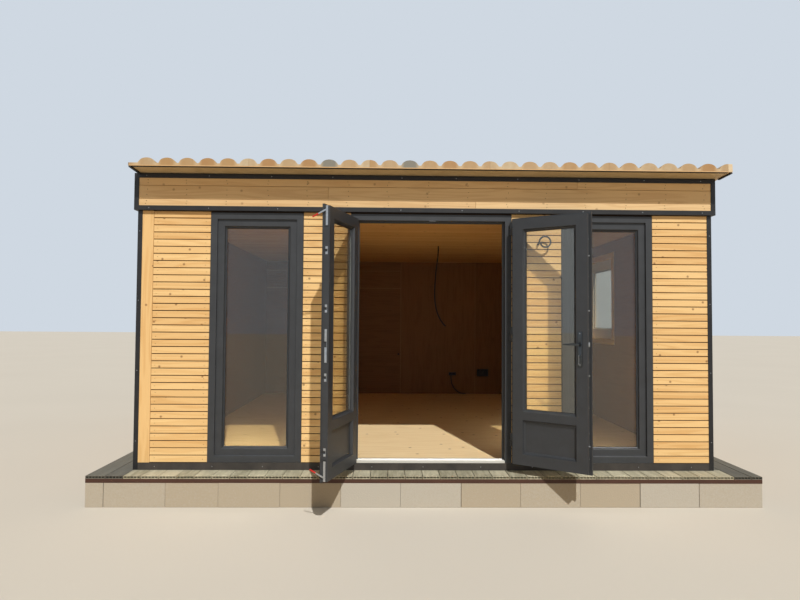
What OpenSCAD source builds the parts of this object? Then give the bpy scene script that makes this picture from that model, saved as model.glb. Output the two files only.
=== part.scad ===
// Garden office pod: a timber-clad cabin on a block plinth, with glazed French doors.
// X runs along the front, +Y goes into the room, Z is up, and the front looks along -Y.
// The origin is the middle of the underside of the plinth.

/* [Plinth and deck] */
// Height of the kerb blocks that hold the slab
plinth_h = 200; // [150:10:400]
// Thickness of the kerb blocks
kerb_t = 100; // [60:5:150]
// Deck left of and right of the walls
deck_side = 300; // [150:10:600]
// Deck in front of the walls
deck_front = 200; // [120:10:1200]
// Deck behind the walls
deck_back = 200; // [120:10:600]
// Height of the joists under the deck boards
joist_h = 33; // [25:1:60]
// Width of the joists under the deck boards
joist_w = 50; // [30:1:70]
// Thickness of the deck boards
deck_t = 23; // [18:1:40]

/* [Floor and walls] */
// Width of the walls over the corner trims
wall_w = 5000; // [4600:10:6500]
// Depth of the walls over the corner trims
wall_d = 5000; // [3500:10:6000]
// Thickness of the insulated wall panels
panel_t = 100; // [70:5:160]
// Thickness of the cladding slats
clad_t = 20; // [15:1:28]
// Height of the floor cassette
cassette_h = 100; // [80:5:200]
// Thickness of the floor boards
floor_t = 18; // [15:1:25]
// Height of the ceiling over the heads of the front openings
ceiling_rise = 50; // [40:1:90]
// Thickness of the ceiling boards
ceiling_t = 15; // [10:1:25]

/* [Openings] */
// Height of the door and the front windows
opening_h = 2150; // [2000:10:2200]
// Width of each front window
window_w = 800; // [500:10:800]
// Left edge of the left window
left_window_x = -1873; // [-2000:1:-1850]
// Left edge of the right window
right_window_x = 1176; // [1150:1:1250]
// Width of the door frame
door_w = 1400; // [1200:10:1400]
// Left edge of the door frame
door_x = -662; // [-700:1:-600]
// Depth of the window and door frames
frame_d = 70; // [65:1:82]
// Face width of the fixed frames
frame_face = 58; // [52:1:70]
// Face width of the window sashes
sash_face = 66; // [50:1:80]
// Width and height of the side window over its casing
side_window_w = 1000; // [700:10:1300]
// Height of the side window over its casing
side_window_h = 1030; // [700:10:1100]
// Head of the side window under the heads of the front openings
side_drop = 130; // [20:10:300]

/* [Doors] */
// Thickness of the door leaves
leaf_t = 70; // [62:1:78]
// Face width of the leaf stiles and rails
leaf_face = 104; // [96:1:120]
// Height of the lower infill panel opening
panel_h = 270; // [150:5:600]
// How far the left leaf stands open in the rest pose
left_open = 107; // [0:1:165]
// How far the right leaf stands open in the rest pose
right_open = 145; // [0:1:165]
// Width of the hinge knuckles
knuckle_d = 18; // [14:1:22]
// Length of the hinges
hinge_l = 112; // [80:1:140]
// Height of the lever handle's axis over the floor
handle_h = 1042; // [900:1:1150]

/* [Roof and fascia] */
// Height of the fascia
fascia_h = 320; // [280:5:420]
// How far the fascia stands out from the walls
fascia_out = 28; // [15:1:60]
// Width of the black edge trims on the fascia
fascia_trim = 40; // [25:1:48]
// Fall of the roof towards the back, in degrees
roof_fall = 2.5; // [1:0.1:2.6]
// Cover width of one roof panel
panel_cover = 1008; // [900:1:1100]
// Thickness of the roof panels under the valleys
roof_core = 26; // [20:1:60]
// Height of the waves over the valleys
wave_h = 44; // [25:1:60]
// Roof in front of the walls
eave_front = 230; // [100:10:400]
// Roof behind the walls
eave_back = 150; // [80:10:400]
// Roof panels past the right corner of the walls
eave_right = 27; // [5:1:60]
// Roof panels short of the left corner of the walls
eave_left = 8; // [5:1:20]

/* [Hidden] */
$fn = 48;

// Clearance between separate pieces that lie side by side
gap = 2;
// Clearance of moving pieces
run = 5;
// Clearance of a pin in its bore, over the radius
pin_play = 0.05;
// Clearance under and beside the sloping roof, where pieces rest on each other
seat = 0.05;
// How far a cut runs past the faces that it goes through
cut = 1;
// Sheet thickness of the black trims, and their face width at the corners
trim_t = 3;
corner_face = 40;

// Levels
deck_z = plinth_h + joist_h + deck_t;
floor_z = plinth_h + cassette_h + floor_t;
head_z = floor_z + opening_h;
fascia_gap = 10;
fascia_z = head_z + fascia_gap;
fascia_top = fascia_z + fascia_h;
roof_lift = 2;
ceiling_z = head_z + ceiling_rise;

// Faces of the walls, measured from the middle
front_y = -wall_d / 2;
back_y = wall_d / 2;
side_x = wall_w / 2;
clad_in = trim_t + clad_t;
wall_in = clad_in + panel_t;
plinth_w = wall_w + 2 * deck_side;
plinth_y0 = front_y - deck_front;
plinth_y1 = back_y + deck_back;

// Underside of the roof at a place y
function roof_z(y) = fascia_top + roof_lift - (y - front_y) * tan(roof_fall);

// Place y where the underside of the roof is at height z
function roof_y(z) = front_y + (fascia_top + roof_lift - z) / tan(roof_fall);

// A box between two opposite corners
module block(a, b) {
    translate(a)
        cube([for (i = [0:2]) b[i] - a[i]]);
}

// A plate in the plane of the front wall, cut by a list of rectangles [x0, z0, x1, z1]
module front_plate(x0, z0, x1, z1, y0, y1, holes = []) {
    difference() {
        block([x0, y0, z0], [x1, y1, z1]);
        for (h = holes)
            block([h[0], y0 - cut, h[1]], [h[2], y1 + cut, h[3]]);
    }
}

// A splayed cut round a hole [x0, z0, x1, z1]: splay wider at y0 than at y1
splay = 8;

module splayed_cut(hole, y0, y1) {
    s = splay;
    out = y0 < y1 ? -cut : cut;
    hull() {
        block([hole[0] - s, min(y0, y0 + out), hole[1] - s],
            [hole[2] + s, max(y0, y0 + out), hole[3] + s]);
        block([hole[0], min(y1, y1 - out), hole[1]], [hole[2], max(y1, y1 - out), hole[3]]);
    }
}

// A solid along X whose outline in Y and Z is a polygon
module along_x(x0, x1, outline) {
    translate([x0, 0, 0])
        rotate([90, 0, 90])
            linear_extrude(x1 - x0)
                polygon(outline);
}

// A solid along Y whose outline in X and Z is a polygon
module along_y(y0, y1, outline) {
    translate([0, y1, 0])
        rotate([90, 0, 0])
            linear_extrude(y1 - y0)
                polygon(outline);
}

// Side views of a wall whose top follows the roof
function wall_side(y0, y1, z0, drop = seat) = [[y0, z0], [y1, z0],
    [y1, roof_z(y1) - drop], [y0, roof_z(y0) - drop]];

module plinth_kerb() {
    color("lightgray")
        difference() {
            block([-plinth_w / 2, plinth_y0, 0], [plinth_w / 2, plinth_y1, plinth_h]);
            block([-plinth_w / 2 + kerb_t, plinth_y0 + kerb_t, -cut],
                [plinth_w / 2 - kerb_t, plinth_y1 - kerb_t, plinth_h + cut]);
        }
}

module ground_slab() {
    color("silver")
        block([-plinth_w / 2 + kerb_t, plinth_y0 + kerb_t, 0],
            [plinth_w / 2 - kerb_t, plinth_y1 - kerb_t, plinth_h]);
}

// Side joists run the whole depth; front and back joists lie between them
module deck_joists() {
    z0 = plinth_h;
    z1 = plinth_h + joist_h;
    ex = plinth_w / 2;
    in_x = side_x - clad_in + gap;
    color("saddlebrown") {
        for (x = [-ex, -in_x - joist_w, in_x, ex - joist_w])
            block([x, plinth_y0, z0], [x + joist_w, plinth_y1, z1]);
        for (y = [plinth_y0, front_y + clad_in - gap - joist_w,
                back_y - clad_in + gap, plinth_y1 - joist_w])
            block([-in_x + gap, y, z0], [in_x - gap, y + joist_w, z1]);
        for (x = [-ex + joist_w + gap, in_x + joist_w + gap], y = [plinth_y0, plinth_y1 - joist_w])
            block([x, y, z0], [x + ex - in_x - 2 * joist_w - 2 * gap, y + joist_w, z1]);
    }
}

// The boards end at the foot of the walls
module deck_boards() {
    z0 = plinth_h + joist_h;
    ex = plinth_w / 2;
    hx = side_x - clad_in + gap;
    color("dimgray")
        difference() {
            block([-ex, plinth_y0, z0], [ex, plinth_y1, deck_z]);
            block([-hx, front_y + clad_in - gap, z0 - cut],
                [hx, back_y - clad_in + gap, deck_z + cut]);
        }
}

module floor_cassette() {
    hx = side_x - clad_in;
    color("burlywood")
        block([-hx, front_y + clad_in, plinth_h], [hx, back_y - clad_in, floor_z - floor_t]);
}

module floor_boards() {
    hx = side_x - clad_in;
    color("tan")
        block([-hx, front_y + clad_in, floor_z - floor_t], [hx, back_y - clad_in, floor_z]);
}

// A pier of the front wall between two places along X
module front_pier(x0, x1) {
    color("burlywood")
        block([x0, front_y + clad_in, floor_z], [x1, front_y + wall_in, head_z]);
}

module front_wall_left() front_pier(-side_x + clad_in, left_window_x);
module front_wall_inner_left() front_pier(left_window_x + window_w, door_x);
module front_wall_inner_right() front_pier(door_x + door_w, right_window_x);
module front_wall_right() front_pier(right_window_x + window_w, side_x - clad_in);

module front_header() {
    hx = side_x - clad_in;
    color("burlywood")
        along_x(-hx, hx, wall_side(front_y + clad_in, front_y + wall_in, head_z));
}

module side_wall(x0, x1) {
    color("burlywood")
        along_x(x0, x1, wall_side(front_y + wall_in, back_y - wall_in, floor_z));
}

// The casing fills the side window's opening, which is in the middle of the wall
side_z1 = head_z - side_drop;
side_z0 = side_z1 - side_window_h;
side_y0 = -side_window_w / 2;
side_y1 = side_window_w / 2;

module left_wall() side_wall(-side_x + clad_in, -side_x + wall_in);

module right_wall() {
    difference() {
        side_wall(side_x - wall_in, side_x - clad_in);
        block([side_x - wall_in - cut, side_y0, side_z0], [side_x, side_y1, side_z1]);
    }
}

module back_wall() {
    hx = side_x - clad_in;
    color("burlywood")
        along_x(-hx, hx, wall_side(back_y - wall_in, back_y - clad_in, floor_z));
}

openings = [[left_window_x, floor_z, left_window_x + window_w, head_z],
    [door_x, floor_z, door_x + door_w, head_z],
    [right_window_x, floor_z, right_window_x + window_w, head_z]];

// Horizontal slats with the three openings, and the upright board at the left corner
module cladding_front() {
    hx = side_x - trim_t;
    color("goldenrod")
        front_plate(-hx, deck_z, hx, fascia_top, front_y + trim_t, front_y + clad_in, openings);
}

module cladding_sides() {
    y0 = front_y + clad_in + gap / 4;
    y1 = back_y - trim_t;
    yb = back_y - clad_in - gap / 4;
    color("goldenrod") {
        along_x(-side_x + trim_t, -side_x + clad_in, wall_side(y0, yb, deck_z));
        difference() {
            along_x(side_x - clad_in, side_x - trim_t, wall_side(y0, yb, deck_z));
            block([side_x - clad_in - cut, side_y0, side_z0], [side_x, side_y1, side_z1]);
        }
        along_x(-side_x + trim_t, side_x - trim_t, wall_side(yb + gap / 4, y1, deck_z));
    }
}

// Angle trims at the four corners, up to the fascia
module corner_trims() {
    f = corner_face;
    t = trim_t;
    color("#202124")
        for (sx = [0, 1], sy = [0, 1])
            mirror([sx, 0, 0])
                mirror([0, sy, 0])
                    translate([-side_x, front_y, deck_z])
                        linear_extrude(fascia_z - gap / 4 - deck_z)
                            polygon([[0, 0], [f, 0], [f, t], [t, t], [t, f], [0, f]]);
}

// Rails run between the corner trims at the foot of the walls
module base_rails() {
    hx = side_x - corner_face - gap / 4;
    hy = wall_d / 2 - corner_face - gap / 4;
    color("#202124") {
        for (y = [front_y, back_y - trim_t])
            block([-hx, y, deck_z], [hx, y + trim_t, floor_z]);
        for (x = [-side_x, side_x - trim_t])
            block([x, -hy, deck_z], [x + trim_t, hy, floor_z]);
    }
}

// The fascia stands out from the front by fascia_out, and from the sides a trim's sheet less
fascia_x = side_x + fascia_out - trim_t;
fascia_y0 = front_y - fascia_out;
fascia_y1 = back_y + fascia_out;
board_back = 4;

// Side view of the opening in a side fascia, whose trims are t wide; it narrows to the back
function fascia_side(t) = wall_side(front_y + t + gap / 2,
    min(back_y - t, roof_y(fascia_z + 2 * t + roof_lift + gap)), fascia_z + t, roof_lift + t);

// Front boards between the trims, and side boards that follow the roof
module fascia_boards() {
    t = fascia_trim;
    hx = side_x - trim_t;
    color("peru") {
        block([-fascia_x + t, fascia_y0 + board_back, fascia_z + t],
            [fascia_x - t, front_y + trim_t, fascia_top - t]);
        along_x(-fascia_x + board_back, -hx, fascia_side(t));
        along_x(hx, fascia_x - board_back, fascia_side(t));
    }
}

// Black frames round the fascia's boards, and a plain band along the back
module fascia_trims() {
    t = fascia_trim;
    hx = side_x - trim_t;
    color("#1c1d20") {
        difference() {
            block([-fascia_x, fascia_y0, fascia_z], [fascia_x, front_y + trim_t, fascia_top]);
            block([-fascia_x + t, fascia_y0 - cut, fascia_z + t],
                [fascia_x - t, front_y + trim_t + cut, fascia_top - t]);
        }
        for (x0 = [-fascia_x, hx])
            difference() {
                along_x(x0, x0 + fascia_x - hx, wall_side(front_y + trim_t + gap / 4,
                    back_y - trim_t - gap / 4, fascia_z, roof_lift));
                along_x(x0 - cut, x0 + fascia_x - hx + cut, fascia_side(t));
            }
        along_x(-fascia_x, fascia_x, wall_side(back_y - trim_t, fascia_y1, fascia_z,
            roof_lift));
    }
}

// Roof panels: a flat underside and six waves a panel, from crown to crown. They are laid
// from the right end, and the last one is cut to the roof's width
waves = 6;
wave_steps = 12;
wave_pitch = panel_cover / waves;
arch_w = 0.8 * wave_pitch;
roof_x0 = -side_x + eave_left;
roof_x1 = side_x + eave_right;
joint = 1;
panels = ceil((roof_x1 - roof_x0 - 2 * joint) / panel_cover);
last_crown = floor((roof_x1 - roof_x0 - arch_w / 2) / wave_pitch);

// Height of the waves at a place x: elliptical crowns with flat valleys between them, and a
// flat lip at the left end
function wave(x) =
    let (d = (roof_x1 - x) / wave_pitch, off = (d - min(round(d), last_crown)) * wave_pitch)
    roof_core + wave_h * sqrt(max(0, 1 - pow(2 * off / arch_w, 2)));

function panel_outline(x0, x1) = concat([[x1, 0], [x0, 0], [x0, wave(x0)]],
    [for (k = [0:waves * wave_steps])
        let (x = x1 - panel_cover + k * wave_pitch / wave_steps)
        if (x > x0 + joint) [x, wave(x)]]);

// Lies in the roof's slope: Y runs down the fall from the front eave
module on_roof() {
    translate([0, front_y, roof_z(front_y)])
        rotate([-roof_fall, 0, 0])
            children();
}

roof_y0 = -eave_front / cos(roof_fall);
roof_y1 = (wall_d + eave_back) / cos(roof_fall);

module roof_panels() {
    color("chocolate")
        on_roof()
            for (i = [0:panels - 1]) {
                x1 = roof_x1 - i * panel_cover;
                x0 = i < panels - 1 ? x1 - panel_cover + joint : roof_x0;
                along_y(roof_y0, roof_y1, panel_outline(x0, x1));
            }
}

// Side trims of the roof: a thin one at the left end and a broad one at the right end
verge_w = 38;
verge_h = roof_core + wave_h;

module verge_trims() {
    color("#1c1d20")
        on_roof() {
            translate([roof_x0 - trim_t - seat, roof_y0, seat])
                cube([trim_t, roof_y1 - roof_y0, roof_core]);
            translate([roof_x1 + seat, roof_y0, seat])
                cube([verge_w, roof_y1 - roof_y0, verge_h]);
        }
}

module ceiling() {
    hx = side_x - wall_in;
    color("wheat")
        block([-hx, front_y + wall_in, ceiling_z],
            [hx, back_y - wall_in, ceiling_z + ceiling_t]);
}

// A frame with a set-back sash and a groove for the glass, standing in the plane of X and Z
glass_t = 24;
glass_in = 14;
sash_back = 18;
glass_y = sash_back + 20;
bead_d = 14;

module window_frame(w, h) {
    inner = frame_face + sash_face;
    difference() {
        cube([w, frame_d, h]);
        translate([frame_face, -cut, frame_face])
            cube([w - 2 * frame_face, sash_back + cut, h - 2 * frame_face]);
        translate([inner, -cut, inner])
            cube([w - 2 * inner, frame_d + 2 * cut, h - 2 * inner]);
        splayed_cut([inner, inner, w - inner, h - inner], sash_back, sash_back + bead_d);
        splayed_cut([inner, inner, w - inner, h - inner], frame_d, frame_d - splay);
        translate([inner - glass_in, glass_y, inner - glass_in])
            cube([w - 2 * inner + 2 * glass_in, glass_t, h - 2 * inner + 2 * glass_in]);
    }
}

module window_glass(w, h) {
    edge = frame_face + sash_face - glass_in;
    translate([edge + gap, glass_y, edge])
        cube([w - 2 * edge - 2 * gap, glass_t, h - 2 * edge - gap]);
}

module left_window_frame() {
    color("#2c3034")
        translate([left_window_x, front_y, floor_z])
            window_frame(window_w, opening_h);
}

module left_window_glass() {
    color("lightblue")
        translate([left_window_x, front_y, floor_z])
            window_glass(window_w, opening_h);
}

module right_window_frame() {
    color("#2c3034")
        translate([right_window_x, front_y, floor_z])
            window_frame(window_w, opening_h);
}

module right_window_glass() {
    color("lightblue")
        translate([right_window_x, front_y, floor_z])
            window_glass(window_w, opening_h);
}

casing_t = 20;

// Turns a window from the front plane into the right wall
module in_right_wall() {
    translate([side_x, side_y0 + casing_t, side_z0 + casing_t])
        rotate([0, 0, 90])
            children();
}

module side_window_frame() {
    color("white")
        in_right_wall()
            window_frame(side_window_w - 2 * casing_t, side_window_h - 2 * casing_t);
}

module side_window_glass() {
    color("lightblue")
        in_right_wall()
            window_glass(side_window_w - 2 * casing_t, side_window_h - 2 * casing_t);
}

// Timber lining of the reveal with an architrave and a sill board inside
module side_window_casing() {
    x_in = side_x - wall_in;
    arch_w = 45;
    arch_t = 12;
    sill_out = 40;
    color("tan")
        difference() {
            union() {
                block([x_in, side_y0, side_z0], [side_x, side_y1, side_z1]);
                block([x_in - arch_t, side_y0 - arch_w, side_z0 - arch_w],
                    [x_in, side_y1 + arch_w, side_z1 + arch_w]);
                block([x_in - sill_out, side_y0 - arch_w, side_z0],
                    [x_in, side_y1 + arch_w, side_z0 + casing_t]);
            }
            block([x_in - sill_out - cut, side_y0 + casing_t, side_z0 + casing_t],
                [side_x + cut, side_y1 - casing_t, side_z1 - casing_t]);
        }
}

// Door frame: jambs and head with a stop behind the leaves
sill_h = 20;
stop_w = 15;
leaf_out = 23;
stop_d = frame_d - leaf_t + leaf_out - run;

module door_frame() {
    f = frame_face;
    color("#2c3034")
        translate([door_x, front_y, floor_z])
            difference() {
                cube([door_w, frame_d, opening_h]);
                translate([f, -cut, -cut])
                    cube([door_w - 2 * f, frame_d - stop_d + cut, opening_h - f + cut]);
                translate([f + stop_w, -cut, -cut])
                    cube([door_w - 2 * f - 2 * stop_w, frame_d + 2 * cut,
                        opening_h - f - stop_w + cut]);
            }
}

// Grooves along the threshold's tread
groove_w = 4;
groove_d = 2;

module threshold() {
    x0 = door_x + frame_face;
    x1 = door_x + door_w - frame_face;
    color("silver") {
        difference() {
            block([x0, front_y, floor_z], [x1, front_y + frame_d - stop_d, floor_z + sill_h]);
            for (y = [front_y + groove_w:2 * groove_w:front_y + frame_d - stop_d - 2 * groove_w])
                block([x0 - cut, y, floor_z + sill_h - groove_d],
                    [x1 + cut, y + groove_w, floor_z + sill_h + cut]);
        }
        block([x0 + stop_w, front_y + frame_d - stop_d, floor_z],
            [x1 - stop_w, front_y + frame_d, floor_z + sill_h + 8]);
    }
}

// The leaves, drawn closed: each in coordinates that start at its hinge pin, with +X
// towards the middle of the doorway; the pin stands in front of the frame's outer edge
pin_x = 12;
pin_y = 30;
lap_side = 25;
lap_top = 15;
lap_low = 15;
lip_t = leaf_out - run;
leaf_x0 = frame_face - pin_x - lap_side;
body_x0 = frame_face - pin_x + run;
strip_t = 1.5;
meet_x = door_w / 2 - pin_x - run / 2 - strip_t;
leaf_z1 = head_z - frame_face + lap_top;
body_z1 = head_z - frame_face - run;
leaf_z0 = floor_z + sill_h + run - lap_low;
body_z0 = floor_z + sill_h + run;
face_y = pin_y - leaf_out;
inner_y = face_y + leaf_t;
// The right leaf's lip laps over the left leaf's stile
meet_lap = 20;

// Edges of the leaf's openings
glass_x0 = body_x0 + leaf_face - 8;
glass_x1 = meet_x - leaf_face + 4;
panel_z0 = body_z0 + leaf_face - 8;
panel_z1 = panel_z0 + panel_h;
mid_rail = 84;
glass_z0 = panel_z1 + mid_rail;
glass_z1 = body_z1 - leaf_face + 10;

// Middle of the leaf's meeting edge, across its thickness
edge_y = (pin_y + inner_y) / 2;

// A leaf's lip, body and openings; lip_end is where the lip stops at the meeting edge
module leaf_frame(lip_end) {
    g = glass_in;
    difference() {
        union() {
            block([leaf_x0, face_y, leaf_z0], [lip_end, face_y + lip_t, leaf_z1]);
            block([body_x0, face_y + lip_t, body_z0], [min(lip_end, meet_x), pin_y, body_z1]);
            block([body_x0, pin_y, body_z0], [meet_x, inner_y, body_z1]);
        }
        for (z = [[glass_z0, glass_z1], [panel_z0, panel_z1]]) {
            block([glass_x0, face_y - cut, z[0]], [glass_x1, inner_y + cut, z[1]]);
            splayed_cut([glass_x0, z[0], glass_x1, z[1]], face_y, face_y + bead_d);
            splayed_cut([glass_x0, z[0], glass_x1, z[1]], inner_y, inner_y - bead_d);
        }
        block([glass_x0 - g, pin_y, glass_z0 - g], [glass_x1 + g, pin_y + glass_t, glass_z1 + g]);
        block([glass_x0 - g, pin_y, panel_z0 - g], [glass_x1 + g, pin_y + glass_t, panel_z1 + g]);
    }
}

// Infill that sits in a groove of the leaf, resting on its lower edge
module leaf_infill(z0, z1) {
    g = glass_in;
    block([glass_x0 - g + gap, pin_y, z0 - g], [glass_x1 + g - gap, pin_y + glass_t, z1 + g - gap]);
}

left_pin = [door_x + pin_x, front_y - pin_y];
right_pin = [door_x + door_w - pin_x, front_y - pin_y];

module place_left() {
    translate([left_pin[0], left_pin[1], 0])
        rotate([0, 0, -left_open])
            children();
}

module place_right() {
    translate([right_pin[0], right_pin[1], 0])
        rotate([0, 0, right_open])
            mirror([1, 0, 0])
                children();
}

// The left leaf has pockets in its meeting edge for the bolt levers, the cams and the latch
module left_leaf_frame() {
    color("#3a3e42")
        place_left() {
            difference() {
                leaf_frame(meet_x - meet_lap - run / 2);
                edge_pockets(cam_pocket);
                for (z = [top_lever_z - lever_l - run, low_lever_z - lever_hub / 2 - run])
                    edge_pocket(z, z + lever_l + lever_hub / 2 + 2 * run,
                        edge_y + lever_hub / 2 + run, lever_pocket);
            }
            for (z = [top_lever_z, low_lever_z])
                translate([meet_x - lever_pocket - cut, edge_y, z])
                    rotate([0, 90, 0])
                        cylinder(r = lever_pin_r, h = lever_pocket + cut);
        }
}

module left_leaf_panel() color("#3a3e42") place_left() leaf_infill(panel_z0, panel_z1);
module left_leaf_glass() color("lightblue") place_left() leaf_infill(glass_z0, glass_z1);

module right_leaf_frame() {
    color("#3a3e42")
        place_right()
            difference() {
                leaf_frame(meet_x + meet_lap - run / 2);
                for (hole = [[spindle_d + 2 * run, handle_h],
                        [cylinder_d + gap, handle_h - cylinder_drop]])
                    translate([handle_x, face_y - cut, floor_z + hole[1]])
                        rotate([-90, 0, 0])
                            cylinder(d = hole[0], h = leaf_t + 2 * cut);
            }
}

module right_leaf_panel() color("#3a3e42") place_right() leaf_infill(panel_z0, panel_z1);
module right_leaf_glass() color("lightblue") place_right() leaf_infill(glass_z0, glass_z1);

// Hinges: the frame's part is the lower half with the pin, the leaf's part the upper half
hinge_over_floor = 152;
hinge_under_middle = 17;
hinge_under_head = 178;
hinge_zs = [floor_z + hinge_over_floor, floor_z + opening_h / 2 - hinge_under_middle,
    head_z - hinge_under_head];
hinge_pin_r = 4;
hinge_gap = 0.5;
pin_end = 6;
plate_w = 36;
plate_t = 5;

module hinge_low() {
    half = hinge_l / 2 - hinge_gap;
    cylinder(d = knuckle_d, h = half);
    translate([-knuckle_d / 2, 0, 0])
        cube([knuckle_d, pin_y, half]);
    cylinder(r = hinge_pin_r, h = hinge_l - pin_end);
}

module hinge_high() {
    z0 = hinge_l / 2 + hinge_gap;
    difference() {
        union() {
            translate([0, 0, z0])
                cylinder(d = knuckle_d, h = hinge_l - z0);
            translate([0, face_y - plate_t, z0])
                cube([leaf_x0 + plate_w, plate_t, hinge_l - z0]);
        }
        translate([0, 0, z0 - cut])
            cylinder(r = hinge_pin_r + pin_play, h = hinge_l - z0 - pin_end + 2 * cut);
    }
}

module frame_hinges() {
    color("#26292c") {
        for (z = hinge_zs)
            translate([left_pin[0], left_pin[1], z])
                hinge_low();
        for (z = hinge_zs)
            translate([right_pin[0], right_pin[1], z])
                hinge_low();
    }
}

module left_leaf_hinges() {
    color("#26292c")
        place_left()
            for (z = hinge_zs)
                translate([0, 0, z])
                    hinge_high();
}

module right_leaf_hinges() {
    color("#26292c")
        place_right()
            for (z = hinge_zs)
                translate([0, 0, z])
                    hinge_high();
}

// Cams of the right leaf: under the head, over and under the handle's axis, and over the floor
cam_under_head = 402;
cam_over_handle = 268;
cam_under_handle = 247;
cam_over_floor = 241;
cam_zs = [opening_h - cam_under_head, handle_h + cam_over_handle,
    handle_h - cam_under_handle, cam_over_floor];
cam_d = 11;
cam_out = 8;
latch_w = 12;
latch_nose = 4;
latch_h = 34;
keep_w = 18;
keep_l = 60;
keep_fit = 1;
cam_pocket = 10;
strike_low = 136;
strike_l = 250;

// Lever bolts of the left leaf: a flat lever on a pin behind the edge's plate, which swings
// out past the leaf's outer face
lever_l = 134;
lever_w = 9;
lever_t = 4;
lever_hub = 13;
lever_pin_r = 2;
lever_pocket = lever_t + 2 * run;
lever_in = lever_pocket / 2;
lever_swing = 65;
lever_plate_l = 150;
top_lever_z = body_z1 - 24;
low_lever_z = body_z0 + 24;

// A pocket in the meeting edge, open to the leaf's front
module edge_pocket(z0, z1, y1, depth) {
    block([meet_x - depth, pin_y - cut, z0], [meet_x + strip_t + cut, y1, z1]);
}

// Pockets in the left leaf's meeting edge for the cams and the latch
module edge_pockets(depth) {
    for (z = cam_zs)
        edge_pocket(floor_z + z - cam_d / 2 - run, floor_z + z + cam_d / 2 + run,
            edge_y + cam_d / 2 + keep_fit, depth);
    edge_pocket(floor_z + handle_h - latch_h / 2 - run, floor_z + handle_h + latch_h / 2 + run,
        edge_y + latch_w / 2 + keep_fit, depth);
}

// Steel keeps on the edge: one at each cam, the latch's strike and the bolts' plates
module left_leaf_keeps() {
    color("gainsboro")
        place_left()
            difference() {
                union() {
                    for (z = cam_zs)
                        edge_plate(floor_z + z - keep_l / 2, keep_l, keep_w);
                    edge_plate(floor_z + handle_h - strike_low, strike_l, keep_w);
                    edge_plate(body_z1 - lever_plate_l, lever_plate_l, keep_w);
                    edge_plate(body_z0, lever_plate_l, keep_w);
                }
                edge_pockets(cut);
            }
}

// A plate on a leaf's meeting edge
module edge_plate(z, l, w) {
    translate([meet_x, edge_y - w / 2, z])
        cube([strip_t, w, l]);
}

// A bolt's tapered lever, swung out; up is 1 where it stands on its pin
module bolt_lever(z, up) {
    tip = up * (lever_l - lever_w / 2);
    translate([meet_x - lever_in, edge_y, z])
        rotate([up * lever_swing, 0, 0])
            difference() {
                union() {
                    along_x(-lever_t / 2, lever_t / 2, [[-lever_hub / 2, 0], [lever_hub / 2, 0],
                        [lever_w / 2, tip], [-lever_w / 2, tip]]);
                    for (end = [[lever_hub, 0], [lever_w, tip]])
                        translate([-lever_t / 2, 0, end[1]])
                            rotate([0, 90, 0])
                                cylinder(d = end[0], h = lever_t);
                }
                translate([-lever_t, 0, 0])
                    rotate([0, 90, 0])
                        cylinder(r = lever_pin_r + pin_play, h = 2 * lever_t);
            }
}

module top_bolt_lever() color("silver") place_left() bolt_lever(top_lever_z, -1);
module bottom_bolt_lever() color("silver") place_left() bolt_lever(low_lever_z, 1);

// Lock strip on the right leaf's meeting edge, with its cams and latch
lock_low = 90;
lock_high = 230;
lock_l = opening_h - lock_low - lock_high;
strip_w = 20;

module right_leaf_lock() {
    color("silver")
        place_right() {
            edge_plate(floor_z + lock_low, lock_l, strip_w);
            for (z = cam_zs)
                translate([meet_x, edge_y, floor_z + z])
                    rotate([0, 90, 0])
                        cylinder(d = cam_d, h = strip_t + cam_out);
            translate([meet_x, edge_y - latch_w / 2, floor_z + handle_h - latch_h / 2])
                linear_extrude(latch_h)
                    polygon([[0, 0], [strip_t + cam_out, 0], [strip_t + cam_out, latch_nose],
                        [strip_t, latch_w], [0, latch_w]]);
        }
}

// Handle plates on both faces of the right leaf, joined by the key cylinder
handle_x = meet_x - leaf_face / 2 - 8;
plate_l = 274;
plate_face = 32;
plate_out = 9;
plate_low = 173;
spindle_d = 18;
cylinder_d = 17;
cylinder_drop = 92;
cylinder_out = 4;

module handle_plates() {
    z0 = floor_z + handle_h - plate_low;
    color("silver")
        place_right()
            difference() {
                union() {
                    for (y = [face_y - plate_out, inner_y])
                        block([handle_x - plate_face / 2, y, z0],
                            [handle_x + plate_face / 2, y + plate_out, z0 + plate_l]);
                    translate([handle_x, face_y - plate_out - cylinder_out,
                            floor_z + handle_h - cylinder_drop])
                        rotate([-90, 0, 0])
                            cylinder(d = cylinder_d, h = leaf_t + 2 * plate_out
                                + 2 * cylinder_out);
                }
                translate([handle_x, face_y - plate_out - cut, floor_z + handle_h])
                    rotate([-90, 0, 0])
                        cylinder(d = spindle_d + 2 * pin_play,
                            h = leaf_t + 2 * plate_out + 2 * cut);
            }
}

// One lever on each side of the leaf, on one spindle; they taper and point at the hinges
handle_neck = 45;
handle_l = 130;
handle_t = 10;
handle_tip = 6.5;

module lever_handle() {
    r = spindle_d / 2;
    tip_x = r + handle_tip - handle_l;
    out = handle_neck + handle_t;
    color("silver")
        place_right()
            translate([handle_x, 0, floor_z + handle_h]) {
                translate([0, face_y - out, 0])
                    rotate([-90, 0, 0])
                        cylinder(r = r, h = leaf_t + 2 * out);
                for (y = [face_y - out, inner_y + handle_neck]) {
                    along_y(y, y + handle_t,
                        [[0, -r], [0, r], [tip_x, handle_tip], [tip_x, -handle_tip]]);
                    translate([tip_x, y, 0])
                        rotate([-90, 0, 0])
                            cylinder(r = handle_tip, h = handle_t);
                }
            }
}

// Open socket boxes on the back wall: [x, height over the floor, width, height]
boxes = [[1249, 355, 185, 118], [743, 335, 117, 50]];
box_d = 40;
box_wall = 6;

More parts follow.
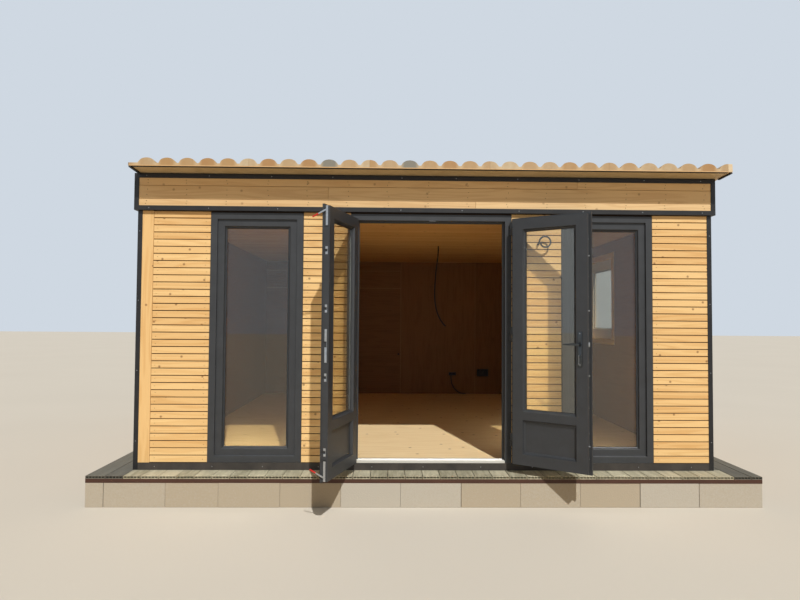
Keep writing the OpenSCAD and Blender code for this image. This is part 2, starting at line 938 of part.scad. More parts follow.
module socket_boxes() {
    color("#222222")
        for (b = boxes)
            translate([b[0] - b[2] / 2, back_y - wall_in - box_d, floor_z + b[1] - b[3] / 2])
                difference() {
                    cube([b[2], box_d, b[3]]);
                    translate([box_wall, -cut, box_wall])
                        cube([b[2] - 2 * box_wall, box_d - box_wall + cut, b[3] - 2 * box_wall]);
                }
}

// A tube of 8 sides along a route; the route never runs along ref
tube_sides = 8;

function unit(v) = v / norm(v);
function route_dir(p, i) = unit(p[min(i + 1, len(p) - 1)] - p[max(i - 1, 0)]);
function ring_at(c, d, r, ref) =
    let (side = unit(cross(d, ref)), up = cross(side, d))
    [for (k = [0:tube_sides - 1])
        c + r * (cos(360 * k / tube_sides) * side + sin(360 * k / tube_sides) * up)];

module tube(points, r, ref = [0, 1, 0]) {
    n = len(points);
    s = tube_sides;
    rings = [for (i = [0:n - 1]) each ring_at(points[i], route_dir(points, i), r, ref)];
    walls = [for (i = [0:n - 2], k = [0:s - 1])
        [i * s + k, (i + 1) * s + k, (i + 1) * s + (k + 1) % s, i * s + (k + 1) % s]];
    ends = [[for (k = [0:s - 1]) k], [for (k = [s - 1:-1:0]) (n - 1) * s + k]];
    polyhedron(rings, concat(ends, walls));
}

conduit_r = 9;
ceiling_route = [for (p = [[0, 0], [0, -60], [-4, -120], [-10, -180], [-18, -240],
        [-26, -300], [-33, -365], [-38, -430], [-42, -500], [-45, -570], [-46, -640],
        [-43, -705], [-36, -765], [-25, -822], [-9, -876], [11, -927], [36, -974],
        [66, -1016], [100, -1050]])
    [316 + p[0], 140, ceiling_z + p[1]]];
wall_route = [for (p = [[0, 310], [0, 270], [2, 240], [6, 210], [13, 180], [23, 151],
        [36, 124], [52, 99], [71, 76], [93, 55], [118, 37], [146, 22], [176, 12],
        [208, 9], [240, 9]])
    [720 + p[0], back_y - wall_in - 20, floor_z + p[1]]];

module ceiling_conduit() color("#202020") tube(ceiling_route, conduit_r);
module wall_conduit() color("#202020") tube(wall_route, conduit_r);

// A loop of conduit beside the door, for a lamp: straight out of the wall, round a bend into
// the wall's plane, then most of a turn that stands further and further out
lamp_x = 968;
lamp_h = 1896;
lamp_r = 8;
lamp_leg = 12;
lamp_bend = 30;
lamp_turn = 48;
lamp_out = 24;
lamp_from = 165;
lamp_by = 325;

function heading(a) = [cos(a), sin(a)];
function lamp_point(v, out) =
    [lamp_x + v[0], front_y + trim_t - out, floor_z + lamp_h + v[1]];

lamp_middle = lamp_bend * heading(lamp_from - 90) - lamp_turn * heading(lamp_from);
lamp_route = concat([lamp_point([0, 0], 0), lamp_point([0, 0], lamp_leg / 2)],
    [for (a = [0:15:75]) lamp_point(lamp_bend * (1 - cos(a)) * heading(lamp_from - 90),
        lamp_leg + lamp_bend * sin(a))],
    [for (a = [0:13:lamp_by]) lamp_point(lamp_middle + lamp_turn * heading(lamp_from - a),
        lamp_leg + lamp_bend + lamp_out * pow(a / lamp_by, 2))]);

// The rings' reference leans a little towards the bend, because the leg runs along Y
module lamp_conduit() {
    lean = 0.01 * heading(lamp_from - 90);
    color("#707478")
        tube(lamp_route, lamp_r, [lean[0], 1, lean[1]]);
}

plinth_kerb();
ground_slab();
deck_joists();
deck_boards();
floor_cassette();
floor_boards();
front_wall_left();
front_wall_inner_left();
front_wall_inner_right();
front_wall_right();
front_header();
left_wall();
right_wall();
back_wall();
cladding_front();
cladding_sides();
corner_trims();
base_rails();
fascia_boards();
fascia_trims();
roof_panels();
verge_trims();
ceiling();
left_window_frame();
left_window_glass();
right_window_frame();
right_window_glass();
side_window_frame();
side_window_glass();
side_window_casing();
door_frame();
threshold();
frame_hinges();
socket_boxes();
left_leaf_frame();
left_leaf_panel();
left_leaf_glass();
left_leaf_keeps();
left_leaf_hinges();
top_bolt_lever();
bottom_bolt_lever();
right_leaf_frame();
right_leaf_panel();
right_leaf_glass();
right_leaf_lock();
right_leaf_hinges();
handle_plates();
lever_handle();
ceiling_conduit();
wall_conduit();
lamp_conduit();
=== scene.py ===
"""Garden office pod: slatted timber walls, glazed French doors and a tile-effect roof on a block plinth."""

import math
import random

import bmesh
import bpy
from bpy.props import FloatProperty, FloatVectorProperty, PointerProperty
from mathutils import Matrix, Vector


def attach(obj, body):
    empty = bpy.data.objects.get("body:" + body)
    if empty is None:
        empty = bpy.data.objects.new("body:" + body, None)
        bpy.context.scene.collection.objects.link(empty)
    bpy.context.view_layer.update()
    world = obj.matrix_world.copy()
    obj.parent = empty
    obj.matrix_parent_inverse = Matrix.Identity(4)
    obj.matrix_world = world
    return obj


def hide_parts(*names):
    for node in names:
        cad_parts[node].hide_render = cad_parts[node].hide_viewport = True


bl_info = {
    "name": "Garden office pod",
    "version": (1, 0, 0),
    "blender": (4, 5, 0),
    "location": "3D View > Sidebar > Pod",
    "description": "Dresses the pod's construction model with boards, blocks, tiles, glass and hardware",
    "category": "Object",
}

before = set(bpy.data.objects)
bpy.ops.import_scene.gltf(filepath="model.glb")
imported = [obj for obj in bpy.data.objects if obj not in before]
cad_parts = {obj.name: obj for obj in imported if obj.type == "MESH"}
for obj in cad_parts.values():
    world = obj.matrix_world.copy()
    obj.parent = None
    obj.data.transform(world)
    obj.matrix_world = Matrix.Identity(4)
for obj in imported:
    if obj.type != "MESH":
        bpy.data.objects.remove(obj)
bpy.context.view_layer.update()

# Camera: its place, its lens and sensor in mm, and its yaw, pitch and roll in degrees
EYE, LENS, SENSOR, AIM = (-0.331, -7.707, 1.546), 27.05, 36.0, (1.086, 1.905, 0.372)

# Levels of the construction model, in metres
PLINTH_TOP, DECK_UNDER, DECK_Z, FLOOR_Z = 0.2, 0.233, 0.256, 0.318
HEAD_Z, FASCIA_Z, CEILING_Z, FASCIA_TOP, ROOF_Z = 2.468, 2.478, 2.518, 2.798, 2.8
# Its faces, from the middle: the walls' outside, the slats' face and back, the room, and the plinth
WALL = 2.5
SLATS, STUDS, ROOM = WALL - 0.003, WALL - 0.023, WALL - 0.123
PLINTH_X, PLINTH_Y = 2.8, 2.7
# Roof sheets: fall, ends, cover width, waves to a sheet, core, and a crown's height and half width
ROOF_FALL = math.radians(2.5)
ROOF_X0, ROOF_X1, SHEET, WAVES = -2.492, 2.527, 1.008, 6
ROOF_Y0, ROOF_Y1 = -0.23 / math.cos(ROOF_FALL), 5.15 / math.cos(ROOF_FALL)
ROOF_CORE, WAVE, WAVE_H = 0.026, SHEET / WAVES, 0.044
CROWN = 0.4 * WAVE
ON_ROOF = Matrix.Translation((0, -WALL, ROOF_Z)) @ Matrix.Rotation(-ROOF_FALL, 4, "X")
# Front openings: left edge, right edge. Side window: both edges, sill, head
OPENINGS = [(-1.873, -1.073), (-0.662, 0.738), (1.176, 1.976)]
SIDE_HOLE = (-0.5, 0.5, 1.308, 2.338)
# Kerb joints along the front, as the photo shows them, and those that are closed
KERB_ENDS = [-2.8, -2.653, -2.151, -1.719, -1.214, -0.714, -0.222, 0.28, 0.774, 1.272, 1.772, 2.268, 2.8]
KERB_SHUT = {-2.151, -1.719, -1.214, -0.714, -0.222, 0.774, 1.272}
# The leaves' own frames: X from the hinge pin to the middle of the doorway, +Y into the room when closed
LEFT_LEAF = Matrix.Translation((-0.65, -2.53, 0)) @ Matrix.Rotation(math.radians(-107), 4, "Z")
RIGHT_LEAF = (Matrix.Translation((0.726, -2.53, 0)) @ Matrix.Rotation(math.radians(145), 4, "Z")
              @ Matrix.Diagonal((-1, 1, 1, 1)))
# In them: the meeting edge, the middle of its hardware, the inner face, the glass, the panel and the handle
MEET_X, EDGE_Y, INNER_Y = 0.684, 0.0535, 0.077
GLASS_X, GLASS_Z, PANEL_Z = (0.147, 0.584), (0.793, 2.311), (0.439, 0.709)
HANDLE_X, HANDLE_Z = 0.624, 1.36


def roof_z(y):
    """Height of the roof's underside at a place y."""
    return ROOF_Z - (y + WALL) * math.tan(ROOF_FALL)


def wave_rise(x):
    """Height of the roof's waves: elliptical crowns with flat valleys between them, and a flat left end."""
    last = math.floor((ROOF_X1 - ROOF_X0 - CROWN) / WAVE)
    turns = (ROOF_X1 - x) / WAVE
    off = (turns - min(round(turns), last)) * WAVE
    return ROOF_CORE + WAVE_H * math.sqrt(max(0.0, 1 - (off / CROWN) ** 2))


def span(side, a, b):
    """Two distances from the middle, put in order on one side of it (-1 or 1)."""
    return sorted((side * a, side * b))


def linear(code):
    """An sRGB hex colour as linear red, green, blue and 1."""
    parts = [int(code[i:i + 2], 16) / 255 for i in (0, 2, 4)]
    return tuple(c / 12.92 if c <= 0.04045 else ((c + 0.055) / 1.055) ** 2.4 for c in parts) + (1.0,)


# ---- sizes and colours that a user may change ----

def size(title, text, value, low, high):
    """A length and its range."""
    return FloatProperty(name=title, description=text, default=value, min=low, max=high, unit="LENGTH")


def tint(title, text, code):
    """A colour."""
    return FloatVectorProperty(name=title, description=text, default=linear(code)[:3], size=3,
                               min=0.0, max=1.0, subtype="COLOR")


class PodSizes(bpy.types.PropertyGroup):
    slat_pitch: size("Slat pitch", "Height of one wall slat and its gap", 0.0617, 0.03, 0.2)
    slat_gap: size("Slat gap", "Open joint between two wall slats", 0.0075, 0.001, 0.02)
    deck_pitch: size("Deck board pitch", "Width of one deck board and its gap", 0.1445, 0.08, 0.25)
    deck_gap: size("Deck gap", "Open joint between two deck boards", 0.006, 0.002, 0.02)
    course: size("Tile course", "Length of one row of the roof's tile effect", 0.35, 0.2, 0.6)
    course_step: size("Tile step", "Drop at the foot of each tile row", 0.009, 0.0, 0.02)


class PodColours(bpy.types.PropertyGroup):
    slat_pale: tint("Slats, pale", "Early wood of the planed slats", "F1CF94")
    slat_deep: tint("Slats, deep", "Late wood of the planed slats", "D4A566")
    foil: tint("Frames", "Foil on the window and door profiles", "2C2E31")
    trim: tint("Trims", "Powder coat on the metal trims", "0E0E10")
    kerb: tint("Kerb blocks", "Concrete of the kerb blocks", "B6B3A9")
    deck: tint("Deck", "Composite of the deck boards", "BDB8A1")
    tile: tint("Tiles", "Main colour of the roof sheets", "AC8A5C")


def colour(name):
    """A colour that the user may have changed, with alpha."""
    return tuple(getattr(bpy.context.scene.pod_colours, name)) + (1.0,)


# ---- shader nodes ----

def add(tree, kind, links=None, out=None, **settings):
    """Adds a node; links gives its inputs as sockets or plain values. Returns it, or one of its outputs."""
    new = tree.nodes.new(kind)
    for key, value in settings.items():
        setattr(new, key, value)
    for key, value in (links or {}).items():
        if isinstance(value, bpy.types.NodeSocket):
            tree.links.new(value, new.inputs[key])
        else:
            new.inputs[key].default_value = value
    return new if out is None else new.outputs[out]


def maths(tree, kind, *values):
    """One sum, of sockets or plain numbers."""
    return add(tree, "ShaderNodeMath", dict(enumerate(values)), 0, operation=kind)


def blend(tree, share, first, second):
    """Two colours mixed by a share of the second."""
    return add(tree, "ShaderNodeMix", {0: share, 6: first, 7: second}, 2, data_type="RGBA")


def spread(tree, value, low, high, to_low=0.0, to_high=1.0, **settings):
    """A value between low and high, moved to another range."""
    return add(tree, "ShaderNodeMapRange", {"Value": value, "From Min": low, "From Max": high,
                                            "To Min": to_low, "To Max": to_high}, 0, **settings)


def noise(tree, where, scale, detail, **inputs):
    """Soft noise, about 1 / scale metres from one patch to the next."""
    inputs.update({"Vector": where, "Scale": scale, "Detail": detail})
    return add(tree, "ShaderNodeTexNoise", inputs, "Fac")


def stretched(tree, where, scale):
    """Coordinates with a scale of their own along each axis."""
    return add(tree, "ShaderNodeMapping", {"Vector": where, "Scale": scale}, 0)


def on_object(tree):
    """Coordinates in metres on the piece."""
    return add(tree, "ShaderNodeTexCoord", out="Object")


def board_tone(tree):
    """The tone that each board or tile was given, 0 to 1."""
    return add(tree, "ShaderNodeAttribute", out="Fac", attribute_name="tone")


def emboss(tree, shader, height, strength, depth):
    """Gives a shader its relief, depth in metres."""
    relief = add(tree, "ShaderNodeBump", {"Strength": strength, "Distance": depth, "Height": height}, 0)
    tree.links.new(relief, shader.inputs["Normal"])


def surface(name, roughness, metallic=0.0, ior=None):
    """An empty material: itself, its tree and its shader."""
    made = bpy.data.materials.new(name)
    made.use_nodes = True
    tree = made.node_tree
    tree.nodes.clear()
    shader = add(tree, "ShaderNodeBsdfPrincipled", {"Roughness": roughness, "Metallic": metallic})
    if ior:
        shader.inputs["IOR"].default_value = ior
    add(tree, "ShaderNodeOutputMaterial", {"Surface": shader.outputs[0]})
    return made, tree, shader


# ---- materials ----

# Softwoods: name, early and late wood (None: the user's colours), and what differs from planed boards
TIMBERS = {
    # Slats, oiled: honey coloured, soft sheen, fine late-wood lines
    "slats": ("Planed pine", None, None, {}),
    # Boards of the fascia: a little darker, with more knots
    "fascia": ("Planed pine, fascia", "EACD9C", "CBA674", {"knots": 3.5, "eye": 0.45}),
    # Three-ply sheets of the lining: deep honey coloured, darkened as painted shade for the dim inside of the
    # room; matt, with little figure
    "lining": ("Planed pine, lining {}", "92653A", "744A22", {"knots": 2.0, "roughness": 0.6, "eye": 0.3}),
    # Matchboard of the ceiling, paler than the walls' sheets
    "ceiling": ("Planed pine, ceiling", "E3BC80", "C8955A", {"knots": 2.0, "roughness": 0.6, "eye": 0.4}),
    # Floor sheets, pale, with close fibres along the front
    "floor": ("Sanded pine sheet", "F4DCB0", "DDBC84", {"knots": 2.5, "tone": 0.0}),
    # Sawn timber of the insulated panels and the floor cassette: coarser than planed boards
    "sawn": ("Sawn timber", "DDBE8C", "B98F58", {"roughness": 0.7, "bump": 0.5, "tone": 0.0}),
    # Lining of the side window's reveal
    "casing": ("Planed pine, casing", "E3BE80", "C6965A", {"knots": 3.0, "tone": 0.0}),
}
KNOT = "6B3D1C"

# What both looks of the deck boards share, with streaks along each board, and what plain plastics share
DECKING = {"ior": 1.5, "grit": 0.0006, "grit_size": 0.006, "streak": (1.0, 0.12, 1.0), "tone": 0.35}
PLASTIC = {"ior": 1.5, "grit": 0.0001}

# Finishes of two close colours in patches: name, both colours (None: the user's), the patches' size, the
# roughness, and what else sets them apart
FINISHES = {
    # Foil on moulded PVC profiles: satin, with a fine leathery grain that breaks up highlights
    "foil": ("Foiled PVC, anthracite", None, "34373B", 0.09, 0.42,
             {"ior": 1.54, "grit": 0.0003, "grit_size": 0.004}),
    # PVC of the side window, moulded smooth: a soft clean sheen
    "white_pvc": ("Extruded PVC, white", "ECEBE6", "E0DFD9", 0.2, 0.35, {"ior": 1.54, "grit": 0.0001}),
    # Powder coat on folded steel, with a fine orange peel and dust that dulls it in patches
    "trim": ("Powder-coated steel, black", None, "201F20", 0.12, 0.45,
             {"ior": 1.5, "grit": 0.0003, "grit_size": 0.006}),
    # The same coat on the foot rails, under brown dust that the rain splashed up
    "dusty": ("Powder-coated steel, dusty", "453F3A", "2A2724", 0.15, 0.7,
              {"ior": 1.5, "grit": 0.0003, "grit_size": 0.006}),
    # Breather membrane behind the slats: dark, matt and slightly fibrous
    "membrane": ("Spun membrane", "24180F", "362417", 0.05, 0.9, {"grit": 0.0004}),
    # Cast kerb blocks: grey, open texture of 4 mm grit, drawn at 9 mm, each block a little different
    "kerb": ("Cast concrete", None, "ADA492", 0.014, 0.92,
             {"grit": 0.004, "grit_size": 0.009, "share": 0.7, "tone": 1.1}),
    # Mortar between the blocks, darker and rougher than they are
    "mortar": ("Trowelled mortar", "5E5A53", "4C4943", 0.03, 0.95, {"grit": 0.003, "grit_size": 0.008}),
    # Extruded wood-plastic deck boards: matt, greenish grey with dusty streaks along each board
    "deck": ("Extruded composite, deck", None, "8C8873", 0.03, 0.75, DECKING),
    # The same boards beside the walls, in a darker grey
    "clean_deck": ("Extruded composite, clean", "6E6C62", "5E5C54", 0.03, 0.75, DECKING),
    # Extruded wood-plastic joists, red-brown and matt
    "joist": ("Extruded composite, joist", "4B2C1E", "3C2317", 0.05, 0.7,
              {"ior": 1.5, "grit": 0.0005, "streak": (0.15, 1.0, 1.0)}),
    # Zinc plate of the keeps, cams and bolts: bright, with faint clouding from the bath
    "zinc": ("Zinc-plated steel", "C9CACB", "A8AAAC", 0.02, 0.34, {"metallic": 1.0, "grit": 0.0001}),
    # Small galvanised screw heads: bright, a little dull
    "screw": ("Galvanised steel", "C4C6C8", "9FA2A5", 0.01, 0.4, {"metallic": 1.0}),
    # Bare nail heads, brown and dull against the boards
    "nail": ("Drawn iron", "5A4230", "3E2C20", 0.01, 0.7, {"metallic": 0.4}),
    # Cast alloy of the handles with a dark satin coat
    "handle": ("Cast alloy, dark satin", "56595B", "484B4D", 0.03, 0.32, {"metallic": 1.0, "grit": 0.0001}),
    # Dark satin coat on the steel hinges and the lock strip
    "hinge": ("Coated steel, dark", "2D3033", "3A3D40", 0.03, 0.4, {"ior": 1.5, "grit": 0.0002}),
    # Threshold, left mill-bright: fine lines along its length
    "threshold": ("Extruded aluminium", "F8F6F0", "E6E4DC", 0.05, 0.45,
                  {"metallic": 1.0, "grit": 0.0002, "grit_size": 0.004, "streak": (0.05, 1.0, 1.0)}),
    # Moulded tips of the bolt levers
    "grip": ("Moulded plastic, red", "D2261C", "B81F18", 0.02, 0.4, PLASTIC),
    # Gaskets and seals: matt, slightly dusty
    "rubber": ("Extruded rubber", "161719", "222325", 0.02, 0.7, PLASTIC),
    # Black conduit: satin, with dust in its grooves
    "conduit": ("Corrugated polypropylene, black", "141415", "222224", 0.03, 0.5, PLASTIC),
    # Grey conduit of the wall lamp: satin
    "lamp": ("Corrugated polypropylene, grey", "3E4043", "323437", 0.03, 0.5, PLASTIC),
    # Socket boxes, satin
    "socket": ("Moulded plastic, black", "1A1A1B", "242425", 0.05, 0.45, PLASTIC),
    # Spacer bar between the panes, satin grey
    "spacer": ("Folded aluminium", "8C8F92", "7A7D80", 0.03, 0.4, {"metallic": 1.0}),
    # Painted verge strip, sand coloured, faded in patches
    "verge": ("Painted steel, sand", "DCCAAB", "CDB792", 0.08, 0.5, {"ior": 1.5, "grit": 0.0003}),
    # Folded front edge of the roof sheets, where the pale ground coat shows
    "edge": ("Pressed steel, pale coat", "D4B284", "C8A26E", 0.03, 0.55, {"ior": 1.5, "grit": 0.0002}),
    # Liner under the roof sheets, sand coloured and matt
    "liner": ("Pressed liner", "C9BA9A", "B7A682", 0.12, 0.65, {"ior": 1.5, "grit": 0.0003}),
}


def pine(key, grain="uv"):
    """One of the softwoods, whose grain runs along the board's own direction or along an axis."""
    title, pale, deep, own = TIMBERS[key]
    name = title.format(grain)
    if name not in bpy.data.materials:
        shades = (linear(pale), linear(deep)) if pale else (colour("slat_pale"), colour("slat_deep"))
        timber(name, *shades, grain, **own)
    return bpy.data.materials[name]


def timber(name, pale, deep, grain, knots=3.6, eye=0.7, tone=0.45, roughness=0.55, bump=0.12):
    """Softwood: growth rings as contour lines, fibres as streaks, small knots and a tone for each board."""
    made, tree, shader = surface(name, roughness, ior=1.5)
    if grain == "uv":
        where = add(tree, "ShaderNodeUVMap", out="UV", uv_map="grain")
    else:
        along = "xyz".index(grain)
        axes = add(tree, "ShaderNodeSeparateXYZ", {0: on_object(tree)}).outputs
        across = maths(tree, "ADD", *(axes[i] for i in range(3) if i != along))
        where = add(tree, "ShaderNodeCombineXYZ", {0: axes[along], 1: across}, 0)
    # Rings 8 to 20 mm apart on a flat-sawn face, stretched 13 times along the board
    swell = noise(tree, stretched(tree, where, (0.9, 12.0, 1.0)), 1.0, 1.5)
    rings = spread(tree, maths(tree, "SINE", maths(tree, "MULTIPLY", swell, 34.0)), -0.2, 1.0)
    # Fibres 0.3 mm wide in the real board, drawn 5 mm wide to show
    fibre = noise(tree, stretched(tree, where, (5.0, 190.0, 1.0)), 1.0, 3.0)
    mixed = maths(tree, "MULTIPLY", rings, 0.3)
    mixed = maths(tree, "MULTIPLY_ADD", fibre, 0.45, mixed)
    mixed = maths(tree, "MULTIPLY_ADD", board_tone(tree), tone, mixed)
    wood = blend(tree, spread(tree, mixed, 0.15, 1.15), pale, deep)
    # Knots with an eye about 7 mm across and a soft rim, one to each cell 1 / knots metres wide
    cell = add(tree, "ShaderNodeTexVoronoi", {"Vector": where, "Scale": knots}, "Distance",
               voronoi_dimensions="2D")
    spot = spread(tree, cell, 0.012, 0.055, eye, 0.0, interpolation_type="SMOOTHSTEP")
    tree.links.new(blend(tree, spot, wood, linear(KNOT)), shader.inputs["Base Color"])
    emboss(tree, shader, mixed, bump, 0.0006)


def finish(key):
    """One of the finishes of two close colours."""
    name, base, other, patch, roughness, own = FINISHES[key]
    if name not in bpy.data.materials:
        speckled(name, linear(base) if base else colour(key), linear(other), patch, roughness, **own)
    return bpy.data.materials[name]


def speckled(name, base, other, patch, roughness, metallic=0.0, ior=None, grit=0.0, grit_size=None,
             share=0.5, streak=None, tone=0.0):
    """Two close colours in patches of a real size, fine grit in the relief, and a tone for each piece."""
    made, tree, shader = surface(name, roughness, metallic, ior)
    where = on_object(tree)
    if streak:
        where = stretched(tree, where, streak)
    cloud = noise(tree, where, 1 / patch, 4.0, Roughness=0.6)
    mixed = maths(tree, "MULTIPLY_ADD", board_tone(tree), tone, cloud)
    middle = 0.5 + tone / 2
    amount = spread(tree, mixed, middle - share / 2, middle + share / 2)
    tree.links.new(blend(tree, amount, base, other), shader.inputs["Base Color"])
    wear = spread(tree, cloud, 0.0, 1.0, roughness * 0.85, min(1.0, roughness * 1.15))
    tree.links.new(wear, shader.inputs["Roughness"])
    emboss(tree, shader, noise(tree, where, 1 / (grit_size or patch / 8), 2.0), 0.5, grit)


def roof_sheet():
    """Tile-effect sheets with a sand-coloured print: ochre and clay patches, each tile its own."""
    made, tree, shader = surface("Pressed steel, tile print", 0.6, ior=1.5)
    where = on_object(tree)
    cloud = noise(tree, where, 14.0, 4.0, Roughness=0.65)
    ramp = add(tree, "ShaderNodeValToRGB", {0: maths(tree, "MULTIPLY_ADD", cloud, 0.4, board_tone(tree))})
    stops = [(0.15, linear("A47C4E")), (0.4, colour("tile")), (0.65, linear("B39A76")),
             (0.85, linear("C2B294")), (1.0, linear("7C7A70"))]
    marks = ramp.color_ramp.elements
    for i, (place, shade) in enumerate(stops):
        stop = marks[i] if i < 2 else marks.new(place)
        stop.position, stop.color = place, shade
    # The print fades to a pale line where a crown meets the valleys, 34 mm wide between two crowns
    across = add(tree, "ShaderNodeSeparateXYZ", {0: where}).outputs[0]
    off = maths(tree, "PINGPONG", maths(tree, "SUBTRACT", ROOF_X1, across), WAVE / 2)
    fade = spread(tree, off, 0.045, 0.075, 0.0, 0.6)
    tree.links.new(blend(tree, fade, ramp.outputs[0], linear("CFBA96")), shader.inputs["Base Color"])
    emboss(tree, shader, noise(tree, where, 160.0, 2.0), 0.4, 0.0008)
    return made


def pane_glass():
    """Float glass panes: clear, smooth, faintly warm; rays from lamps pass straight through them."""
    name = "Float glass"
    if name in bpy.data.materials:
        return bpy.data.materials[name]
    made, tree, shader = surface(name, 0.0, ior=1.45)
    shader.inputs["Transmission Weight"].default_value = 1.0
    # Roller waves of the float line, about 300 mm apart, that bend reflections a little
    roll = noise(tree, on_object(tree), 3.0, 0.0)
    tree.links.new(blend(tree, roll, linear("F6F5F0"), linear("F4F3ED")), shader.inputs["Base Color"])
    emboss(tree, shader, roll, 0.15, 0.0004)
    ray = add(tree, "ShaderNodeLightPath", out="Is Shadow Ray")
    clear = add(tree, "ShaderNodeBsdfTransparent", {"Color": linear("F3F0E8")}, 0)
    shown = add(tree, "ShaderNodeMixShader", {0: ray, 1: shader.outputs[0], 2: clear}, 0)
    tree.links.new(shown, tree.nodes["Material Output"].inputs["Surface"])
    return made


# ---- mesh work ----

def start():
    """A new mesh that carries each board's tone and grain directions."""
    bm = bmesh.new()
    bm.faces.layers.float.new("tone")
    bm.loops.layers.uv.new("grain")
    return bm


def pour(part, bm):
    """Adds one mesh to another and frees the first."""
    held = bpy.data.meshes.new("held")
    part.to_mesh(held)
    part.free()
    bm.from_mesh(held)
    bpy.data.meshes.remove(held)


def paint(bm, faces, along=0, tone=0.5, shift=(0.0, 0.0), stuff=0):
    """Gives faces their tone, their material and grain coordinates that run along one axis."""
    tones, grain = bm.faces.layers.float["tone"], bm.loops.layers.uv["grain"]
    for face in faces:
        face[tones] = tone
        face.material_index = stuff
        for loop in face.loops:
            co = loop.vert.co
            loop[grain].uv = (co[along] + shift[0], sum(co) - co[along] + shift[1])


def board_look(rng):
    """A board's own tone and place in the grain, in metres."""
    return rng.random(), (rng.uniform(-40, 40), rng.uniform(-40, 40))


def block(bm, lo, hi, edge=0.0, along=0, rng=None, stuff=0, segments=1, place=None):
    """A cuboid between two corners with eased edges, with its own tone and grain if it is a board."""
    verts = bmesh.ops.create_cube(bm, size=1.0)["verts"]
    bmesh.ops.scale(bm, vec=[hi[i] - lo[i] for i in range(3)], verts=verts)
    bmesh.ops.translate(bm, vec=[(hi[i] + lo[i]) / 2 for i in range(3)], verts=verts)
    if edge:
        made = bmesh.ops.bevel(bm, geom=list({e for v in verts for e in v.link_edges}), offset=edge,
                               affect="EDGES", segments=segments, profile=0.5, material=-1)
        verts = list({v for f in made["faces"] for v in f.verts})
    tone, shift = board_look(rng) if rng else (0.5, (0.0, 0.0))
    paint(bm, {f for v in verts for f in v.link_faces}, along, tone, shift, stuff)
    if place:
        bmesh.ops.transform(bm, matrix=place, verts=verts)
    return verts


def disc(bm, centre, axis, radius, depth, sides=8, stuff=0, place=None, top=None):
    """A short round solid whose middle is at centre and whose axis is 0 or 1."""
    turn = Matrix.Translation(centre) @ Matrix.Rotation(math.pi / 2, 4, "YX"[axis])
    verts = bmesh.ops.create_cone(bm, cap_ends=True, segments=sides, radius1=radius, depth=depth,
                                  radius2=radius if top is None else top, matrix=turn)["verts"]
    paint(bm, {f for v in verts for f in v.link_faces}, axis, stuff=stuff)
    if place:
        bmesh.ops.transform(bm, matrix=place, verts=verts)


def mitred(bm, x, z, section, stuff=0, place=None):
    """A mitred frame inside the rectangle x, z; section lists (inwards, y) round its profile."""
    corners = ((0, 0), (1, 0), (1, 1), (0, 1))
    rings = [[bm.verts.new((x[i] + inward * (1 - 2 * i), y, z[k] + inward * (1 - 2 * k))) for i, k in corners]
             for inward, y in section]
    faces = [bm.faces.new((a[i - 1], a[i], b[i], b[i - 1]))
             for a, b in zip(rings, rings[1:] + rings[:1]) for i in range(4)]
    bmesh.ops.recalc_face_normals(bm, faces=faces)
    paint(bm, faces, stuff=stuff)
    if place:
        bmesh.ops.transform(bm, matrix=place, verts=[v for ring in rings for v in ring])


def piece(bm, name, body, stuffs, stands_for=(), smooth=None):
    """Makes the finished object, hangs it on its body and hides the construction nodes that it stands for."""
    bmesh.ops.recalc_face_normals(bm, faces=bm.faces)
    mesh = bpy.data.meshes.new(name)
    bm.to_mesh(mesh)
    bm.free()
    for stuff in stuffs:
        mesh.materials.append(stuff)
    if smooth:
        mesh.shade_smooth()
        mesh.set_sharp_from_angle(angle=math.radians(smooth))
    else:
        mesh.shade_flat()
    made = bpy.data.objects.new(name, mesh)
    bpy.context.collection.objects.link(made)
    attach(made, body)
    if stands_for:
        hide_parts(*stands_for)
    return made


def from_node(bm, node, edge, segments=2):
    """Copies a construction node with its doubles merged, its flat faces joined and its sharp edges eased."""
    part = bmesh.new()
    part.from_mesh(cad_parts[node].data)
    bmesh.ops.remove_doubles(part, verts=part.verts, dist=1e-5)
    bmesh.ops.dissolve_limit(part, angle_limit=math.radians(1), verts=part.verts, edges=part.edges)
    sharp = [e for e in part.edges if len(e.link_faces) == 2 and e.calc_face_angle(0) > math.radians(30)]
    bmesh.ops.bevel(part, geom=sharp, offset=edge, affect="EDGES", segments=segments, profile=0.5,
                    material=-1, clamp_overlap=True)
    count = len(bm.faces)
    pour(part, bm)
    bm.faces.ensure_lookup_table()
    paint(bm, bm.faces[count:])


def eased(node, name, body, stuff, edge, segments=2, smooth=None):
    """One construction node with eased edges and its finish."""
    bm = start()
    from_node(bm, node, edge, segments)
    piece(bm, name, body, [finish(stuff)], (node,), smooth)


def finish_node(node, stuff):
    """Gives a construction node that keeps its shape its finish."""
    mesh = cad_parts[node].data
    mesh.materials.clear()
    mesh.materials.append(stuff)


def to_roof(verts):
    """Takes a sheet's top edge up to the roof's underside."""
    for v in verts:
        if v.co.z > FASCIA_Z + 0.01:
            v.co.z = roof_z(v.co.y) - 0.0001


# ---- pieces ----

class POD_OT_camera(bpy.types.Operator):
    """Set the camera where the photograph was taken from"""
    bl_idname = "pod.camera"
    bl_label = "Camera"

    def execute(self, context):
        yaw, pitch, roll = (math.radians(turn) for turn in AIM)
        ahead = Vector((math.sin(yaw) * math.cos(pitch), math.cos(yaw) * math.cos(pitch), math.sin(pitch)))
        level = Vector((math.cos(yaw), -math.sin(yaw), 0))
        over = level.cross(ahead)
        right = math.cos(roll) * level + math.sin(roll) * over
        up = math.cos(roll) * over - math.sin(roll) * level
        lens = bpy.data.cameras.new("camera")
        lens.lens, lens.sensor_width = LENS, SENSOR
        eye = bpy.data.objects.new("camera", lens)
        eye.matrix_world = Matrix.Translation(EYE) @ Matrix((right, up, -ahead)).transposed().to_4x4()
        context.collection.objects.link(eye)
        context.scene.camera = eye
        return {"FINISHED"}


